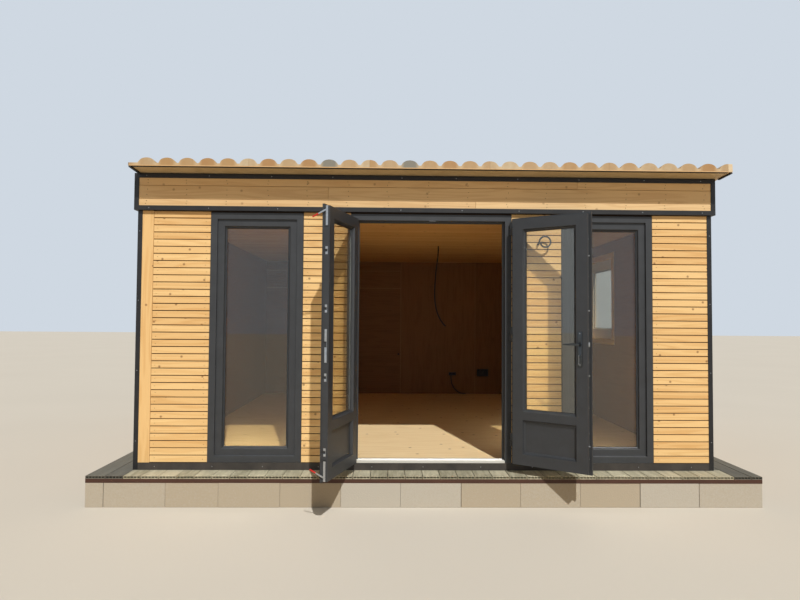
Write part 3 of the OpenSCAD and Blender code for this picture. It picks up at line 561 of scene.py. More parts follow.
class POD_OT_conduits(bpy.types.Operator):
    """Hang the three corrugated conduits"""
    bl_idname = "pod.conduits"
    bl_label = "Conduits"

    def execute(self, context):
        # Millimetres to the right of and below or above the first point's place
        falls = [(0, 0), (0, -60), (-4, -120), (-10, -180), (-18, -240), (-26, -300), (-33, -365), (-38, -430),
                 (-42, -500), (-45, -570), (-46, -640), (-43, -705), (-36, -765), (-25, -822), (-9, -876),
                 (11, -927), (36, -974), (66, -1016), (100, -1050)]
        hanging = [Vector(((316 + dx) / 1000, 0.14, CEILING_Z + dz / 1000)) for dx, dz in falls]
        drops = [(0, 310), (0, 270), (2, 240), (6, 210), (13, 180), (23, 151), (36, 124), (52, 99), (71, 76),
                 (93, 55), (118, 37), (146, 22), (176, 12), (208, 9), (240, 9)]
        lying = [Vector(((720 + dx) / 1000, 2.357, FLOOR_Z + dz / 1000)) for dx, dz in drops]
        for node, route, radius, stuff, slot, stiffness, lay in (
                ("ceiling_conduit", hanging, 0.009, "conduit", "black_plastic", "stiff", "hanging"),
                ("wall_conduit", lying, 0.009, "conduit", "black_plastic", "stiff", "loose"),
                ("lamp_conduit", lamp_route(), 0.008, "lamp", "grey_plastic", "medium", "loose")):
            tube = corrugated(route, f"{node}_tube", radius, finish(stuff))
            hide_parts(node)
        return {"FINISHED"}


def heading(turn):
    """A direction in the plane of the wall, in degrees from the right."""
    return Vector((math.cos(math.radians(turn)), math.sin(math.radians(turn))))


def lamp_route():
    """The wall lamp's conduit: straight out of the slats, a bend upwards and one loop in front of the wall."""
    bend, loop, lean, straight, spread_out, sweep = 0.030, 0.048, 75, 0.012, 0.024, 325
    middle = bend * heading(lean) - loop * heading(lean + 90)
    spots = [(Vector((0, 0)), out) for out in (0.0, straight / 2)]
    for turn in range(0, 76, 15):
        spots.append((bend * (1 - heading(turn).x) * heading(lean), straight + bend * heading(turn).y))
    for turn in range(0, sweep + 1, 13):
        spots.append((middle + loop * heading(lean + 90 - turn),
                      straight + bend + spread_out * (turn / sweep) ** 2))
    return [Vector((0.968 + v.x, -SLATS - out, 2.214 + v.y)) for v, out in spots]


def corrugated(route, name, radius, stuff):
    """A ribbed tube along a route: ribs are 3 mm apart in the real conduit, drawn 8 mm apart."""
    bm = start()
    rib, groove = 0.008, radius - 0.0014
    spans = [(b - a).length for a, b in zip(route, route[1:])]
    count = int(sum(spans) / rib) * 2
    ring = None
    for k in range(count + 1):
        reach = sum(spans) * k / count
        i = 0
        while i < len(spans) - 1 and reach > spans[i]:
            reach -= spans[i]
            i += 1
        share = reach / spans[i]
        at = route[i].lerp(route[i + 1], share)
        before = (route[i + 1] - route[max(i - 1, 0)]).normalized()
        after = (route[min(i + 2, len(route) - 1)] - route[i]).normalized()
        turn = before.lerp(after, share).normalized().to_track_quat("Z", "Y").to_matrix().to_4x4()
        verts = bmesh.ops.create_circle(bm, segments=10, radius=radius if k % 2 else groove,
                                        cap_ends=k in (0, count), matrix=Matrix.Translation(at) @ turn)["verts"]
        edges = list({e for v in verts for e in v.link_edges})
        if ring:
            bmesh.ops.bridge_loops(bm, edges=ring + edges)
        ring = edges
    return piece(bm, name, "pod", [stuff], smooth=50)


class POD_OT_plinth(bpy.types.Operator):
    """Lay the kerb blocks, the joists and the deck boards"""
    bl_idname = "pod.plinth"
    bl_label = "Plinth and deck"

    def execute(self, context):
        rng = random.Random(11)
        bm = start()
        thick, joint, shut, mortar_in = 0.1, 0.004, 0.0012, 0.008
        sides = [0.5 * k - 2.6 for k in range(11)] + [2.6]
        rows = [(axis, a, b, s) for axis, ends in ((0, KERB_ENDS), (1, sides)) for s in (-1, 1)
                for a, b in zip(ends, ends[1:])]
        for axis, a, b, s in rows:
            gaps = [shut if x in KERB_SHUT else joint if abs(x) < PLINTH_X else 0.0 for x in (a, b)]
            a, b = a + gaps[0] / 2, b - gaps[1] / 2
            face = PLINTH_X if axis else PLINTH_Y
            near, far = span(s, face, face - thick)
            push = rng.uniform(0.0, 0.003)
            near, far = (near + push, far) if s < 0 else (near, far - push)
            lo, hi = ((near, a), (far, b)) if axis else ((a, near), (b, far))
            block(bm, (*lo, 0.0), (*hi, PLINTH_TOP), 0.003, axis, rng, 0, 2)
        for s in (-1, 1):
            y0, y1 = span(s, PLINTH_Y - mortar_in, PLINTH_Y - thick + 0.004)
            block(bm, (0.01 - PLINTH_X, y0, 0.004), (PLINTH_X - 0.01, y1, PLINTH_TOP - 0.004), stuff=1)
            x0, x1 = span(s, PLINTH_X - mortar_in, PLINTH_X - thick + 0.004)
            block(bm, (x0, -2.59, 0.004), (x1, 2.59, PLINTH_TOP - 0.004), stuff=1)
        piece(bm, "kerb_blocks", "pod", [finish("kerb"), finish("mortar")], ("plinth_kerb",))
        finish_node("ground_slab", finish("mortar"))

        bm = start()
        width, inner = 0.05, STUDS + 0.002
        for s in (-1, 1):
            for face, end in ((PLINTH_Y, PLINTH_X), (inner + width, STUDS)):
                y0, y1 = span(s, face, face - width)
                hollow(bm, (-end, y0, PLINTH_TOP), (end, y1, DECK_UNDER))
            for face in (PLINTH_X, inner + width):
                x0, x1 = span(s, face, face - width)
                end = PLINTH_Y - width - 0.002
                block(bm, (x0, -end, PLINTH_TOP), (x1, end, DECK_UNDER), 0.002, 1)
        piece(bm, "deck_joist_profiles", "pod", [finish("joist")], ("deck_joists",))

        bm = start()
        pitch, gap = context.scene.pod_sizes.deck_pitch, context.scene.pod_sizes.deck_gap
        joints = [x for x in (pitch * k - 1.628 for k in range(-60, 80)) if abs(x) < PLINTH_X - 0.03]
        edges = [-PLINTH_X] + joints + [PLINTH_X]
        for a, b in zip(edges, edges[1:]):
            a, b = a + gap / 2 * (a > -PLINTH_X), b - gap / 2 * (b < PLINTH_X)
            if b <= -inner or a >= inner:
                plank(bm, a, b, -PLINTH_Y, PLINTH_Y, rng, 1)
                continue
            plank(bm, a, b, -PLINTH_Y, -inner, rng)
            plank(bm, a, b, inner, PLINTH_Y, rng)
            for c, d in ((a, -inner), (inner, b)):
                if d - c > 0.006:
                    plank(bm, c, d, 0.002 - inner, inner - 0.002, rng, 1)
        piece(bm, "deck_planks", "pod", [finish("deck"), finish("clean_deck")], ("deck_boards",))
        finish_node("floor_cassette", pine("sawn", "x"))
        finish_node("floor_boards", pine("floor", "x"))
        return {"FINISHED"}


def joined_to(vert):
    """All the vertices of the separate solid that one vertex belongs to."""
    found, rim = {vert}, [vert]
    while rim:
        rim = list({o for v in rim for o in (e.other_vert(v) for e in v.link_edges) if o not in found})
        found.update(rim)
    return found


def plank(bm, x0, x1, y0, y1, rng, stuff=0):
    """A hollow deck board along Y: a grooved top, a flat bottom and upright webs between them."""
    skin, web, web_pitch, groove, groove_depth = 0.0045, 0.004, 0.028, 0.006, 0.0015
    look = board_look(rng)
    top = block(bm, (x0, y0, DECK_Z - skin), (x1, y1, DECK_Z))
    cuts = max(1, round((x1 - x0) / groove)) * 2 - 1
    across = list({e for v in top for e in v.link_edges if abs(e.verts[0].co.x - e.verts[1].co.x) > 0.004})
    made = bmesh.ops.subdivide_edges(bm, edges=across, cuts=cuts, use_grid_fill=True)
    verts = joined_to(next(g for g in made["geom_inner"] if isinstance(g, bmesh.types.BMVert)))
    for v in verts:
        k = round((v.co.x - x0) / (x1 - x0) * (cuts + 1))
        if v.co.z > DECK_Z - skin / 2 and k % 4 in (2, 3):
            v.co.z -= groove_depth
    verts |= set(block(bm, (x0, y0, DECK_UNDER), (x1, y1, DECK_UNDER + skin)))
    webs = max(1, round((x1 - x0) / web_pitch))
    for k in range(webs + 1):
        x = x0 + (x1 - x0 - web) * k / webs
        verts |= set(block(bm, (x, y0, DECK_UNDER + skin), (x + web, y1, DECK_Z - skin)))
    paint(bm, {f for v in verts for f in v.link_faces}, 1, *look, stuff)


def hollow(bm, lo, hi):
    """A hollow joist profile along X: four walls and a web, open at both ends."""
    (x0, y0, z0), (x1, y1, z1), wall = lo, hi, 0.005
    sheets = [(y0, y1, z, z + wall) for z in (z0, z1 - wall)]
    sheets += [(y, y + wall, z0 + wall, z1 - wall) for y in (y0, y1 - wall, (y0 + y1 - wall) / 2)]
    for a, b, c, d in sheets:
        block(bm, (x0, a, c), (x1, b, d))


class POD_OT_cladding(bpy.types.Operator):
    """Fix the wall slats over their membrane"""
    bl_idname = "pod.cladding"
    bl_label = "Cladding"

    def execute(self, context):
        sizes = context.scene.pod_sizes
        rng = random.Random(5)
        sheet, ease = 0.003, 0.0015
        rows = max(1, round((FASCIA_Z - DECK_Z) / sizes.slat_pitch))
        pitch, half = (FASCIA_Z - DECK_Z) / rows, sizes.slat_gap / 2
        levels = [(DECK_Z + k * pitch + half, DECK_Z + (k + 1) * pitch - half) for k in range(rows)]
        ends = [-2.362] + [x for hole in OPENINGS for x in (hole[0] - 0.001, hole[1] + 0.001)] + [SLATS]
        bm, nails = start(), start()
        back = -STUDS - sheet
        # The upright board at the left corner, 132 mm wide
        block(bm, (-SLATS, -SLATS, DECK_Z), (-2.365, back, FASCIA_Z - 0.001), ease, 2, rng)
        for z0, z1 in levels:
            for x0, x1 in zip(ends[::2], ends[1::2]):
                lift = rng.uniform(0.0, 0.0008)
                block(bm, (x0, lift - SLATS, z0), (x1, back, z1), ease, 0, rng)
                for x in (x0 + 0.035, x1 - 0.035):
                    disc(nails, (x + rng.uniform(-0.006, 0.006), -SLATS - 0.0001,
                                 (z0 + z1) / 2 + rng.uniform(-0.01, 0.01)), 1, 0.0024, 0.0016, 6)
        for x0, x1 in OPENINGS:
            block(bm, (x0 + 0.001, -SLATS, HEAD_Z + 0.001), (x1 - 0.001, back, FASCIA_Z - 0.001), ease, stuff=1)
        xs = [-SLATS] + [x for hole in OPENINGS for x in hole] + [SLATS]
        for x0, x1 in zip(xs[::2], xs[1::2]):
            block(bm, (x0, back, DECK_Z), (x1, -STUDS, HEAD_Z), stuff=1)
        block(bm, (-SLATS, back, HEAD_Z), (SLATS, -STUDS, FASCIA_TOP), stuff=1)
        piece(bm, "front_slats", "pod", [pine("slats"), finish("membrane")], ("cladding_front",))
        piece(nails, "slat_nails", "pod", [finish("nail")])

        bm = start()
        end = STUDS - 0.0005
        for s in (-1, 1):
            hole = SIDE_HOLE if s > 0 else None
            x0, x1 = span(s, SLATS, STUDS + sheet)
            for z0, z1 in levels:
                for a, b, c, d in split(-end, end, z0, z1, hole, rng):
                    block(bm, (x0, a, c), (x1, b, d), ease, 1, rng)
            x0, x1 = span(s, STUDS + sheet, STUDS)
            sheets = [(-end, end, DECK_Z, FASCIA_Z)] if not hole else [
                (-end, hole[0], DECK_Z, FASCIA_Z), (hole[1], end, DECK_Z, FASCIA_Z),
                (hole[0], hole[1], DECK_Z, hole[2]), (hole[0], hole[1], hole[3], FASCIA_Z)]
            for a, b, c, d in sheets:
                block(bm, (x0, a, c), (x1, b, d), stuff=1)
            x0, x1 = span(s, SLATS, STUDS)
            to_roof(block(bm, (x0, -end, FASCIA_Z), (x1, end, FASCIA_TOP), stuff=1))
        for z0, z1 in levels:
            for a, b, c, d in split(-SLATS, SLATS, z0, z1, None, rng):
                block(bm, (a, STUDS + sheet, c), (b, SLATS, d), ease, 0, rng)
        block(bm, (-SLATS, STUDS, DECK_Z), (SLATS, STUDS + sheet, FASCIA_Z), stuff=1)
        to_roof(block(bm, (-SLATS, STUDS, FASCIA_Z), (SLATS, SLATS, FASCIA_TOP), stuff=1))
        piece(bm, "side_slats", "pod", [pine("slats"), finish("membrane")], ("cladding_sides",))
        return {"FINISHED"}


def split(a, b, z0, z1, hole, rng):
    """The lengths of one row of slats, butted at a random place and cut round a hole."""
    butt = rng.uniform(a + 1.2, b - 1.2)
    parts = [(a, butt - 0.001, z0, z1), (butt + 0.001, b, z0, z1)]
    if not hole or z1 <= hole[2] or z0 >= hole[3]:
        return parts
    cut = []
    for y0, y1, c, d in parts:
        if y0 < hole[0]:
            cut.append((y0, min(y1, hole[0] - 0.001), c, d))
        if y1 > hole[1]:
            cut.append((max(y0, hole[1] + 0.001), y1, c, d))
    for c, d in ((z0, hole[2] - 0.001), (hole[3] + 0.001, z1)):
        if d - c > 0.005:
            cut.append((hole[0], hole[1], c, d))
    return cut


class POD_OT_trims(bpy.types.Operator):
    """Fit the fascia boards, the black trims and their screws"""
    bl_idname = "pod.trims"
    bl_label = "Fascia and trims"

    def execute(self, context):
        rng = random.Random(23)
        bm, nails = start(), start()
        face, ease = -2.524, 0.0015
        levels = [(2.518, 2.576), (2.579, 2.692), (2.695, 2.758)]
        for (z0, z1), butt in zip(levels, (0.42, -0.86, 1.31)):
            for x0, x1 in ((-2.485, butt - 0.0008), (butt + 0.0008, 2.485)):
                block(bm, (x0, face + rng.uniform(0, 0.0015), z0), (x1, -SLATS, z1), ease, 0, rng)
            for k in range(15):
                for dz in (0.3, 0.7):
                    disc(nails, (-2.42 + k * 0.346 + rng.uniform(-0.012, 0.012), face - 0.0001,
                                 z0 + (z1 - z0) * dz), 1, 0.003, 0.0022, 6)
        for s in (-1, 1):
            part = start()
            x0, x1 = span(s, SLATS, 2.521)
            for z0, z1 in levels:
                block(part, (x0, -2.459, z0), (x1, 2.459, z1), ease, 1, rng)
            slope = Vector((0, math.sin(ROOF_FALL), math.cos(ROOF_FALL)))
            bmesh.ops.bisect_plane(part, geom=part.verts[:] + part.edges[:] + part.faces[:],
                                   plane_co=(0, 0, roof_z(0) - 0.0425), plane_no=slope, clear_outer=True)
            bmesh.ops.holes_fill(part, edges=[e for e in part.edges if e.is_boundary])
            pour(part, bm)
        piece(bm, "fascia_planks", "pod", [pine("fascia")], ("fascia_boards",))
        piece(nails, "fascia_nails", "pod", [finish("nail")])
        eased("fascia_trims", "fascia_edging", "pod", "trim", 0.002)
        eased("corner_trims", "corner_angles", "pod", "trim", 0.0008)
        eased("base_rails", "foot_rails", "pod", "dusty", 0.001)
        # Screws of the foot rail, of both fascia trims and of the front corners
        bm = start()
        on_wall, on_fascia = -2.5003, -2.5283
        spots = [(0.46 * k - 2.3 + rng.uniform(-0.03, 0.03), on_wall, 0.285) for k in range(11)]
        spots += [(0.533 * k - 2.4 + rng.uniform(-0.05, 0.05), on_fascia, z) for z in (2.498, 2.778)
                  for k in range(10)]
        spots += [(s * 2.482, on_wall, z) for s in (-1, 1) for z in (0.5, 1.1, 1.7, 2.3)]
        for spot in spots:
            disc(bm, spot, 1, 0.0045, 0.0024, 8, top=0.003)
        piece(bm, "trim_screws", "pod", [finish("screw")])
        return {"FINISHED"}


class POD_OT_roof(bpy.types.Operator):
    """Lay the tile-effect roof sheets and their side trims"""
    bl_idname = "pod.roof"
    bl_label = "Roof"

    def execute(self, context):
        sizes = context.scene.pod_sizes
        rng = random.Random(37)
        courses = max(1, round((ROOF_Y1 - ROOF_Y0) / sizes.course))
        run = (ROOF_Y1 - ROOF_Y0) / courses
        rows = courses * 2 - 1
        # The folded edge of a sheet shows its pale coat; two tiles at the eave are greyed
        fold, grey_tiles, grey = 0.007, (-0.833, -0.161), 0.95
        bm = start()
        tones = bm.faces.layers.float["tone"]
        x1 = ROOF_X1
        while x1 > ROOF_X0 + 0.01:
            x0 = max(x1 - SHEET + 0.001, ROOF_X0)
            crown_tones = [[rng.uniform(0.0, 0.6) for _ in range(WAVES + 1)] for _ in range(courses)]
            made = bmesh.ops.create_grid(bm, x_segments=WAVES * 16, y_segments=rows, size=0.5)["verts"]
            for v in made:
                x = x0 + (v.co.x + 0.5) * (x1 - x0)
                course, foot = divmod(round((v.co.y + 0.5) * rows), 2)
                lapped = course > 0 and not foot
                v.co = (x, ROOF_Y0 + run * (course + foot) + 0.002 * lapped,
                        wave_rise(x) - sizes.course_step * lapped)
            faces = {f for v in made for f in v.link_faces}
            rim = list({e for f in faces for e in f.edges if e.is_boundary})
            for height in (fold, 0.0):
                skirt = bmesh.ops.extrude_edge_only(bm, edges=rim)["geom"]
                low = {g for g in skirt if isinstance(g, bmesh.types.BMVert)}
                rim = [g for g in skirt if isinstance(g, bmesh.types.BMEdge) and low.issuperset(g.verts)]
                faces |= {g for g in skirt if isinstance(g, bmesh.types.BMFace)}
                for v in low:
                    v.co.z = height
            for f in faces:
                centre = f.calc_center_median()
                crown = min(WAVES, max(0, round((x1 - centre.x) / WAVE)))
                course = min(courses - 1, max(0, int((centre.y - ROOF_Y0) / run)))
                f[tones] = crown_tones[course][crown]
                if centre.y < ROOF_Y0 + run and any(abs(centre.x - x) < 0.07 for x in grey_tiles):
                    f[tones] = grey
                f.material_index = 2 if centre.z < fold else 0
            for f in bmesh.ops.edgenet_fill(bm, edges=rim)["faces"]:
                f.material_index = 1
            x1 -= SHEET
        bmesh.ops.transform(bm, matrix=ON_ROOF, verts=bm.verts)
        piece(bm, "roof_tiles", "pod", [roof_sheet(), finish("liner"), finish("edge")], ("roof_panels",),
              smooth=40)
        # A dark rubber strip under the sheets' front edge, painted shade standing for the shadow gap there, and
        # a thin strip under each end of the eave
        bm = start()
        block(bm, (ROOF_X0 + 0.002, ROOF_Y0 + 0.004, -0.0025), (ROOF_X1 - 0.002, ROOF_Y0 + 0.03, -0.0001),
              place=ON_ROOF)
        for x0, x1 in ((ROOF_X0, ROOF_X0 + 0.02), (ROOF_X1 + 0.018, ROOF_X1 + 0.036)):
            block(bm, (x0, ROOF_Y0 + 0.002, -0.012), (x1, -0.03, -0.0026), 0.0006, 1, place=ON_ROOF)
        piece(bm, "eave_seals", "pod", [finish("rubber")])
        bm = start()
        block(bm, (ROOF_X0 - 0.00305, ROOF_Y0, 0.0001), (ROOF_X0 - 0.0001, ROOF_Y1, ROOF_CORE), 0.0004, 1,
              place=ON_ROOF)
        piece(bm, "left_verge", "pod", [finish("trim")], ("verge_trims",))
        bm = start()
        block(bm, (ROOF_X1 + 0.0001, ROOF_Y0, 0.0001), (ROOF_X1 + 0.038, ROOF_Y1, 0.07), 0.003, 1, segments=2,
              place=ON_ROOF)
        piece(bm, "right_verge", "pod", [finish("verge")])
        return {"FINISHED"}


class POD_OT_room(bpy.types.Operator):
    """Line the ceiling and the back wall, and finish the walls and the sockets"""
    bl_idname = "pod.room"
    bl_label = "Room"

    def execute(self, context):
        rng = random.Random(41)
        bm = start()
        boards, sheet = 40, 0.004
        pitch = 2 * ROOM / boards
        for k in range(boards):
            y0 = k * pitch - ROOM
            block(bm, (-ROOM, y0 + 0.0004, CEILING_Z), (ROOM, y0 + pitch - 0.0004, CEILING_Z + 0.015),
                  0.0025, 0, rng)
        piece(bm, "ceiling_boards", "pod", [pine("ceiling")], ("ceiling",))
        bm = start()
        to_roof(block(bm, (-STUDS, ROOM + sheet, FLOOR_Z), (STUDS, STUDS, FASCIA_TOP), stuff=1))
        # Sheets of the back wall: both edges, their levels, and the way that their grain runs
        top = CEILING_Z - 0.001
        for x0, x1, zs, along in ((-STUDS, -0.126, (FLOOR_Z, 2.075, 2.365, top), 0),
                                  (-0.126, 1.124, (FLOOR_Z, top), 2), (1.124, 2.374, (FLOOR_Z, top), 2),
                                  (2.374, STUDS, (FLOOR_Z, top), 2)):
            for z0, z1 in zip(zs, zs[1:]):
                block(bm, (x0 + 0.001, ROOM, z0 + 0.001), (x1 - 0.001, ROOM + sheet, z1 - 0.001),
                      0.0015, along, rng)
        disc(bm, (-0.16, ROOM + 0.0005, 0.975), 1, 0.016, 0.003, 10, stuff=2)
        # The back wall's sheets take the lining colours, darkened as painted shade
        piece(bm, "back_wall_sheets", "pod", [pine("lining"), pine("sawn", "x"), finish("socket")],
              ("back_wall",))
        # The walls' inner faces take the same lining colours, darkened as painted shade
        for node in ("front_wall_left", "front_wall_inner_left", "front_wall_inner_right", "front_wall_right",
                     "front_header"):
            finish_node(node, pine("lining", "x"))
        for node in ("left_wall", "right_wall"):
            finish_node(node, pine("lining", "y"))
        # Socket boxes: middle, height over the floor, width, height and the sockets in each
        bm = start()
        rim, depth = 0.009, 0.04
        section = [(0.003, ROOM - depth), (0, ROOM - depth + 0.004), (0, ROOM), (rim, ROOM),
                   (rim, ROOM - depth + 0.001), (0.007, ROOM - depth)]
        for x, h, wide, tall, bays in ((1.249, 0.355, 0.185, 0.118, 2), (0.743, 0.335, 0.117, 0.05, 1)):
            x0, x1, z0, z1 = x - wide / 2, x + wide / 2, FLOOR_Z + h - tall / 2, FLOOR_Z + h + tall / 2
            mitred(bm, (x0, x1), (z0, z1), section)
            block(bm, (x0 + rim, ROOM - 0.012, z0 + rim), (x1 - rim, ROOM, z1 - rim))
            bay = (wide - 2 * rim) / bays
            for k in range(bays):
                disc(bm, (x0 + rim + bay * (k + 0.5), ROOM - 0.02, FLOOR_Z + h), 1,
                     min(bay, tall - 2 * rim) * 0.44, 0.018, 16)
        piece(bm, "socket_frames", "pod", [finish("socket")], ("socket_boxes",), smooth=35)
        return {"FINISHED"}


def double_glazing(x, y, z, name, body, node, place=None):
    """Two panes with a spacer bar between them, near their edges."""
    pane = 0.004
    bm = start()
    for y0, y1 in ((y[0], y[0] + pane), (y[1] - pane, y[1])):
        block(bm, (x[0], y0, z[0]), (x[1], y1, z[1]), 0.0004, place=place)
    near, far = y[0] + pane + 0.0002, y[1] - pane - 0.0002
    mitred(bm, x, z, [(0.002, near), (0.013, near), (0.013, far), (0.002, far)], stuff=1, place=place)
    piece(bm, name, body, [pane_glass(), finish("spacer")], (node,))


def bead(on_glass, width, lip, rise):
    """The profile of a glazing bead: where it meets the glass, its width, its lip and its rise."""
    return [(0, on_glass), (width, on_glass), (width, on_glass + lip), (0.002, on_glass + rise),
            (0, on_glass + rise)]


def gasket(bm, x, z, inward, y, depth, place=None):
    """A thin rubber line along a bead or rebate, 3.5 mm wide."""
    edge = inward + 0.0035
    mitred(bm, x, z, [(inward, y), (edge, y), (edge, y + depth), (inward, y + depth)], stuff=1, place=place)


class POD_OT_windows(bpy.types.Operator):
    """Glaze the two front windows and the side window"""
    bl_idname = "pod.windows"
    bl_label = "Windows"

    def execute(self, context):
        # From the opening's edge to the bead, and to the pane
        sight, rebate = 0.124, 0.112
        for side, (x0, x1) in (("left", OPENINGS[0]), ("right", OPENINGS[2])):
            bm = start()
            from_node(bm, f"{side}_window_frame", 0.003)
            glass_x, glass_z = (x0 + sight, x1 - sight), (FLOOR_Z + sight, HEAD_Z - sight)
            mitred(bm, glass_x, glass_z, bead(-2.4622, 0.008, -0.0018, -0.0057))
            for y, inward in ((-2.4642, 0.0082), (-2.4378, 0.0)):
                gasket(bm, glass_x, glass_z, inward, y, 0.002)
            piece(bm, f"{side}_window_profiles", "pod", [finish("foil"), finish("rubber")],
                  (f"{side}_window_frame",))
            double_glazing((x0 + rebate, x1 - rebate), (-2.462, -2.438), (FLOOR_Z + 0.110, HEAD_Z - rebate),
                           f"{side}_window_panes", "pod", f"{side}_window_glass")
        bm = start()
        from_node(bm, "side_window_frame", 0.003)
        turn = Matrix.Translation((WALL, 0, 0)) @ Matrix.Rotation(math.pi / 2, 4, "Z")
        mitred(bm, (-0.356, 0.356), (SIDE_HOLE[2] + 0.144, SIDE_HOLE[3] - 0.144),
               bead(0.0378, 0.008, -0.0018, -0.0057), place=turn)
        piece(bm, "side_window_profiles", "pod", [finish("white_pvc")], ("side_window_frame",))
        double_glazing((-0.368, 0.368), (0.038, 0.062), (SIDE_HOLE[2] + 0.130, SIDE_HOLE[3] - 0.132),
                       "side_window_panes", "pod", "side_window_glass", turn)
        bm = start()
        from_node(bm, "side_window_casing", 0.002)
        piece(bm, "side_window_lining", "pod", [pine("casing", "y")], ("side_window_casing",))
        return {"FINISHED"}


class POD_OT_door_set(bpy.types.Operator):
    """Fit the door frame, its threshold and its hinges"""
    bl_idname = "pod.door_set"
    bl_label = "Door frame"

    def execute(self, context):
        bm = start()
        from_node(bm, "door_frame", 0.003)
        # The bolt's strike plate under the head
        block(bm, (0.02, -2.5, HEAD_Z - 0.0592), (0.075, -2.47, HEAD_Z - 0.0575), 0.0004, stuff=1)
        piece(bm, "door_frame_profiles", "pod", [finish("foil"), finish("zinc")], ("door_frame",))
        eased("threshold", "threshold_profile", "pod", "threshold", 0.0006, 1)
        eased("frame_hinges", "frame_hinge_bodies", "pod", "hinge", 0.0015)
        return {"FINISHED"}


class POD_OT_leaves(bpy.types.Operator):
    """Build the two door leaves with their beads, glass and lower panels"""
    bl_idname = "pod.leaves"
    bl_label = "Door leaves"

    def execute(self, context):
        # Faces of the glass and of the panel, and how far a bead's lip and rise go from them
        outside, inside, lip, rise = 0.0298, 0.0542, 0.0023, 0.0086
        for side, place in (("left", LEFT_LEAF), ("right", RIGHT_LEAF)):
            body = f"{side}_leaf"
            bm = start()
            from_node(bm, f"{body}_frame", 0.003)
            for z in (GLASS_Z, PANEL_Z):
                mitred(bm, GLASS_X, z, bead(inside, 0.01, lip, rise), place=place)
                mitred(bm, GLASS_X, z, bead(outside, 0.008, -lip, -rise), place=place)
            for y, inward in ((outside - 0.0016, 0.0082), (inside, 0.0102)):
                gasket(bm, GLASS_X, GLASS_Z, inward, y, 0.0016, place)
            piece(bm, f"{body}_profiles", body, [finish("foil"), finish("rubber")], (f"{body}_frame",))
            eased(f"{body}_panel", f"{body}_infill", body, "foil", 0.001, 1)
            double_glazing((GLASS_X[0] - 0.012, GLASS_X[1] + 0.012), (0.03, 0.054),
                           (GLASS_Z[0] - 0.014, GLASS_Z[1] + 0.012),
                           f"{body}_panes", body, f"{body}_glass", place)
            eased(f"{body}_hinges", f"{side}_hinge_straps", body, "hinge", 0.0015)
        return {"FINISHED"}


class POD_OT_hardware(bpy.types.Operator):
    """Fit the keeps, the lock, the bolts and the handles"""
    bl_idname = "pod.hardware"
    bl_label = "Hardware"

    def execute(self, context):
        # Middles of the cams' keeps, of the latch's keep and of the bolts; each keep has a screw on both sides
        cams, latch, bolts = [2.066, 1.628, 1.113, 0.559], 1.349, [2.399, 0.349]
        keeps = [(z, 0.023) for z in cams] + [(latch, 0.115)]
        screws = [z + s * reach for z, reach in keeps for s in (-1, 1)] + bolts
        face = MEET_X + 0.0019
        bm = start()
        from_node(bm, "left_leaf_keeps", 0.0004, 1)
        for z in screws:
            disc(bm, (face, EDGE_Y, z), 0, 0.0042, 0.0012, 10, place=LEFT_LEAF, top=0.003)
        piece(bm, "left_keeps", "left_leaf", [finish("zinc")], ("left_leaf_keeps",), smooth=35)
        bm = start()
        from_node(bm, "right_leaf_lock", 0.0006)
        # The strip is dark; its cams, its latch and its screws are bright
        for f in bm.faces:
            f.material_index = int((RIGHT_LEAF.inverted() @ f.calc_center_median()).x > MEET_X + 0.0018)
        for z in [0.46, 0.66, 0.86, 1.02, 1.22, 1.48, 1.74, 1.9, 2.2]:
            disc(bm, (face, EDGE_Y, z), 0, 0.004, 0.0012, 10, stuff=1, place=RIGHT_LEAF, top=0.003)
        piece(bm, "right_lock_strip", "right_leaf", [finish("hinge"), finish("zinc")], ("right_leaf_lock",),
              smooth=35)
        # The bolts' levers: each pin's height, the way that the lever points when folded, and its red grip
        for name, z, up in (("top_bolt", 2.381, -1), ("bottom_bolt", 0.367, 1)):
            bm = start()
            from_node(bm, f"{name}_lever", 0.0008)
            swing = (LEFT_LEAF @ Matrix.Translation((MEET_X - 0.007, EDGE_Y, z))
                     @ Matrix.Rotation(math.radians(65 * up), 4, "X"))
            low, high = span(up, 0.080, 0.1335)
            block(bm, (-0.0032, -0.0058, low), (0.0032, 0.0058, high), 0.0018, stuff=1, segments=2, place=swing)
            piece(bm, f"{name}_arm", name, [finish("zinc"), finish("grip")], (f"{name}_lever",),
                  smooth=35)
        bm = start()
        from_node(bm, "handle_plates", 0.0025, 3)
        # The key in its lock with a second one hanging from its ring, and the inner plate's screws
        key_y, key_z = INNER_Y + 0.013, HANDLE_Z - 0.092
        for half, y0, y1, z0, z1, edge in ((0.001, 0.0, 0.012, -0.004, 0.004, 0.0005),
                                           (0.0012, 0.018, 0.025, -0.05, -0.011, 0.0006)):
            block(bm, (HANDLE_X - half, key_y + y0, key_z + z0), (HANDLE_X + half, key_y + y1, key_z + z1),
                  edge, stuff=1, place=RIGHT_LEAF)
        for dy, dz in ((0.02, 0.0), (0.0215, -0.058)):
            disc(bm, (HANDLE_X, key_y + dy, key_z + dz), 0, 0.011, 0.0022, 20, stuff=1, place=RIGHT_LEAF)
        for dz in (-0.16, 0.088):
            disc(bm, (HANDLE_X, INNER_Y + 0.0094, HANDLE_Z + dz), 1, 0.004, 0.0012, 10, stuff=1,
                 place=RIGHT_LEAF)
        piece(bm, "handle_backplates", "right_leaf", [finish("handle"), finish("zinc")], ("handle_plates",),
              smooth=35)
        eased("lever_handle", "lever_grips", "lever", "handle", 0.004, 3, 35)
        return {"FINISHED"}


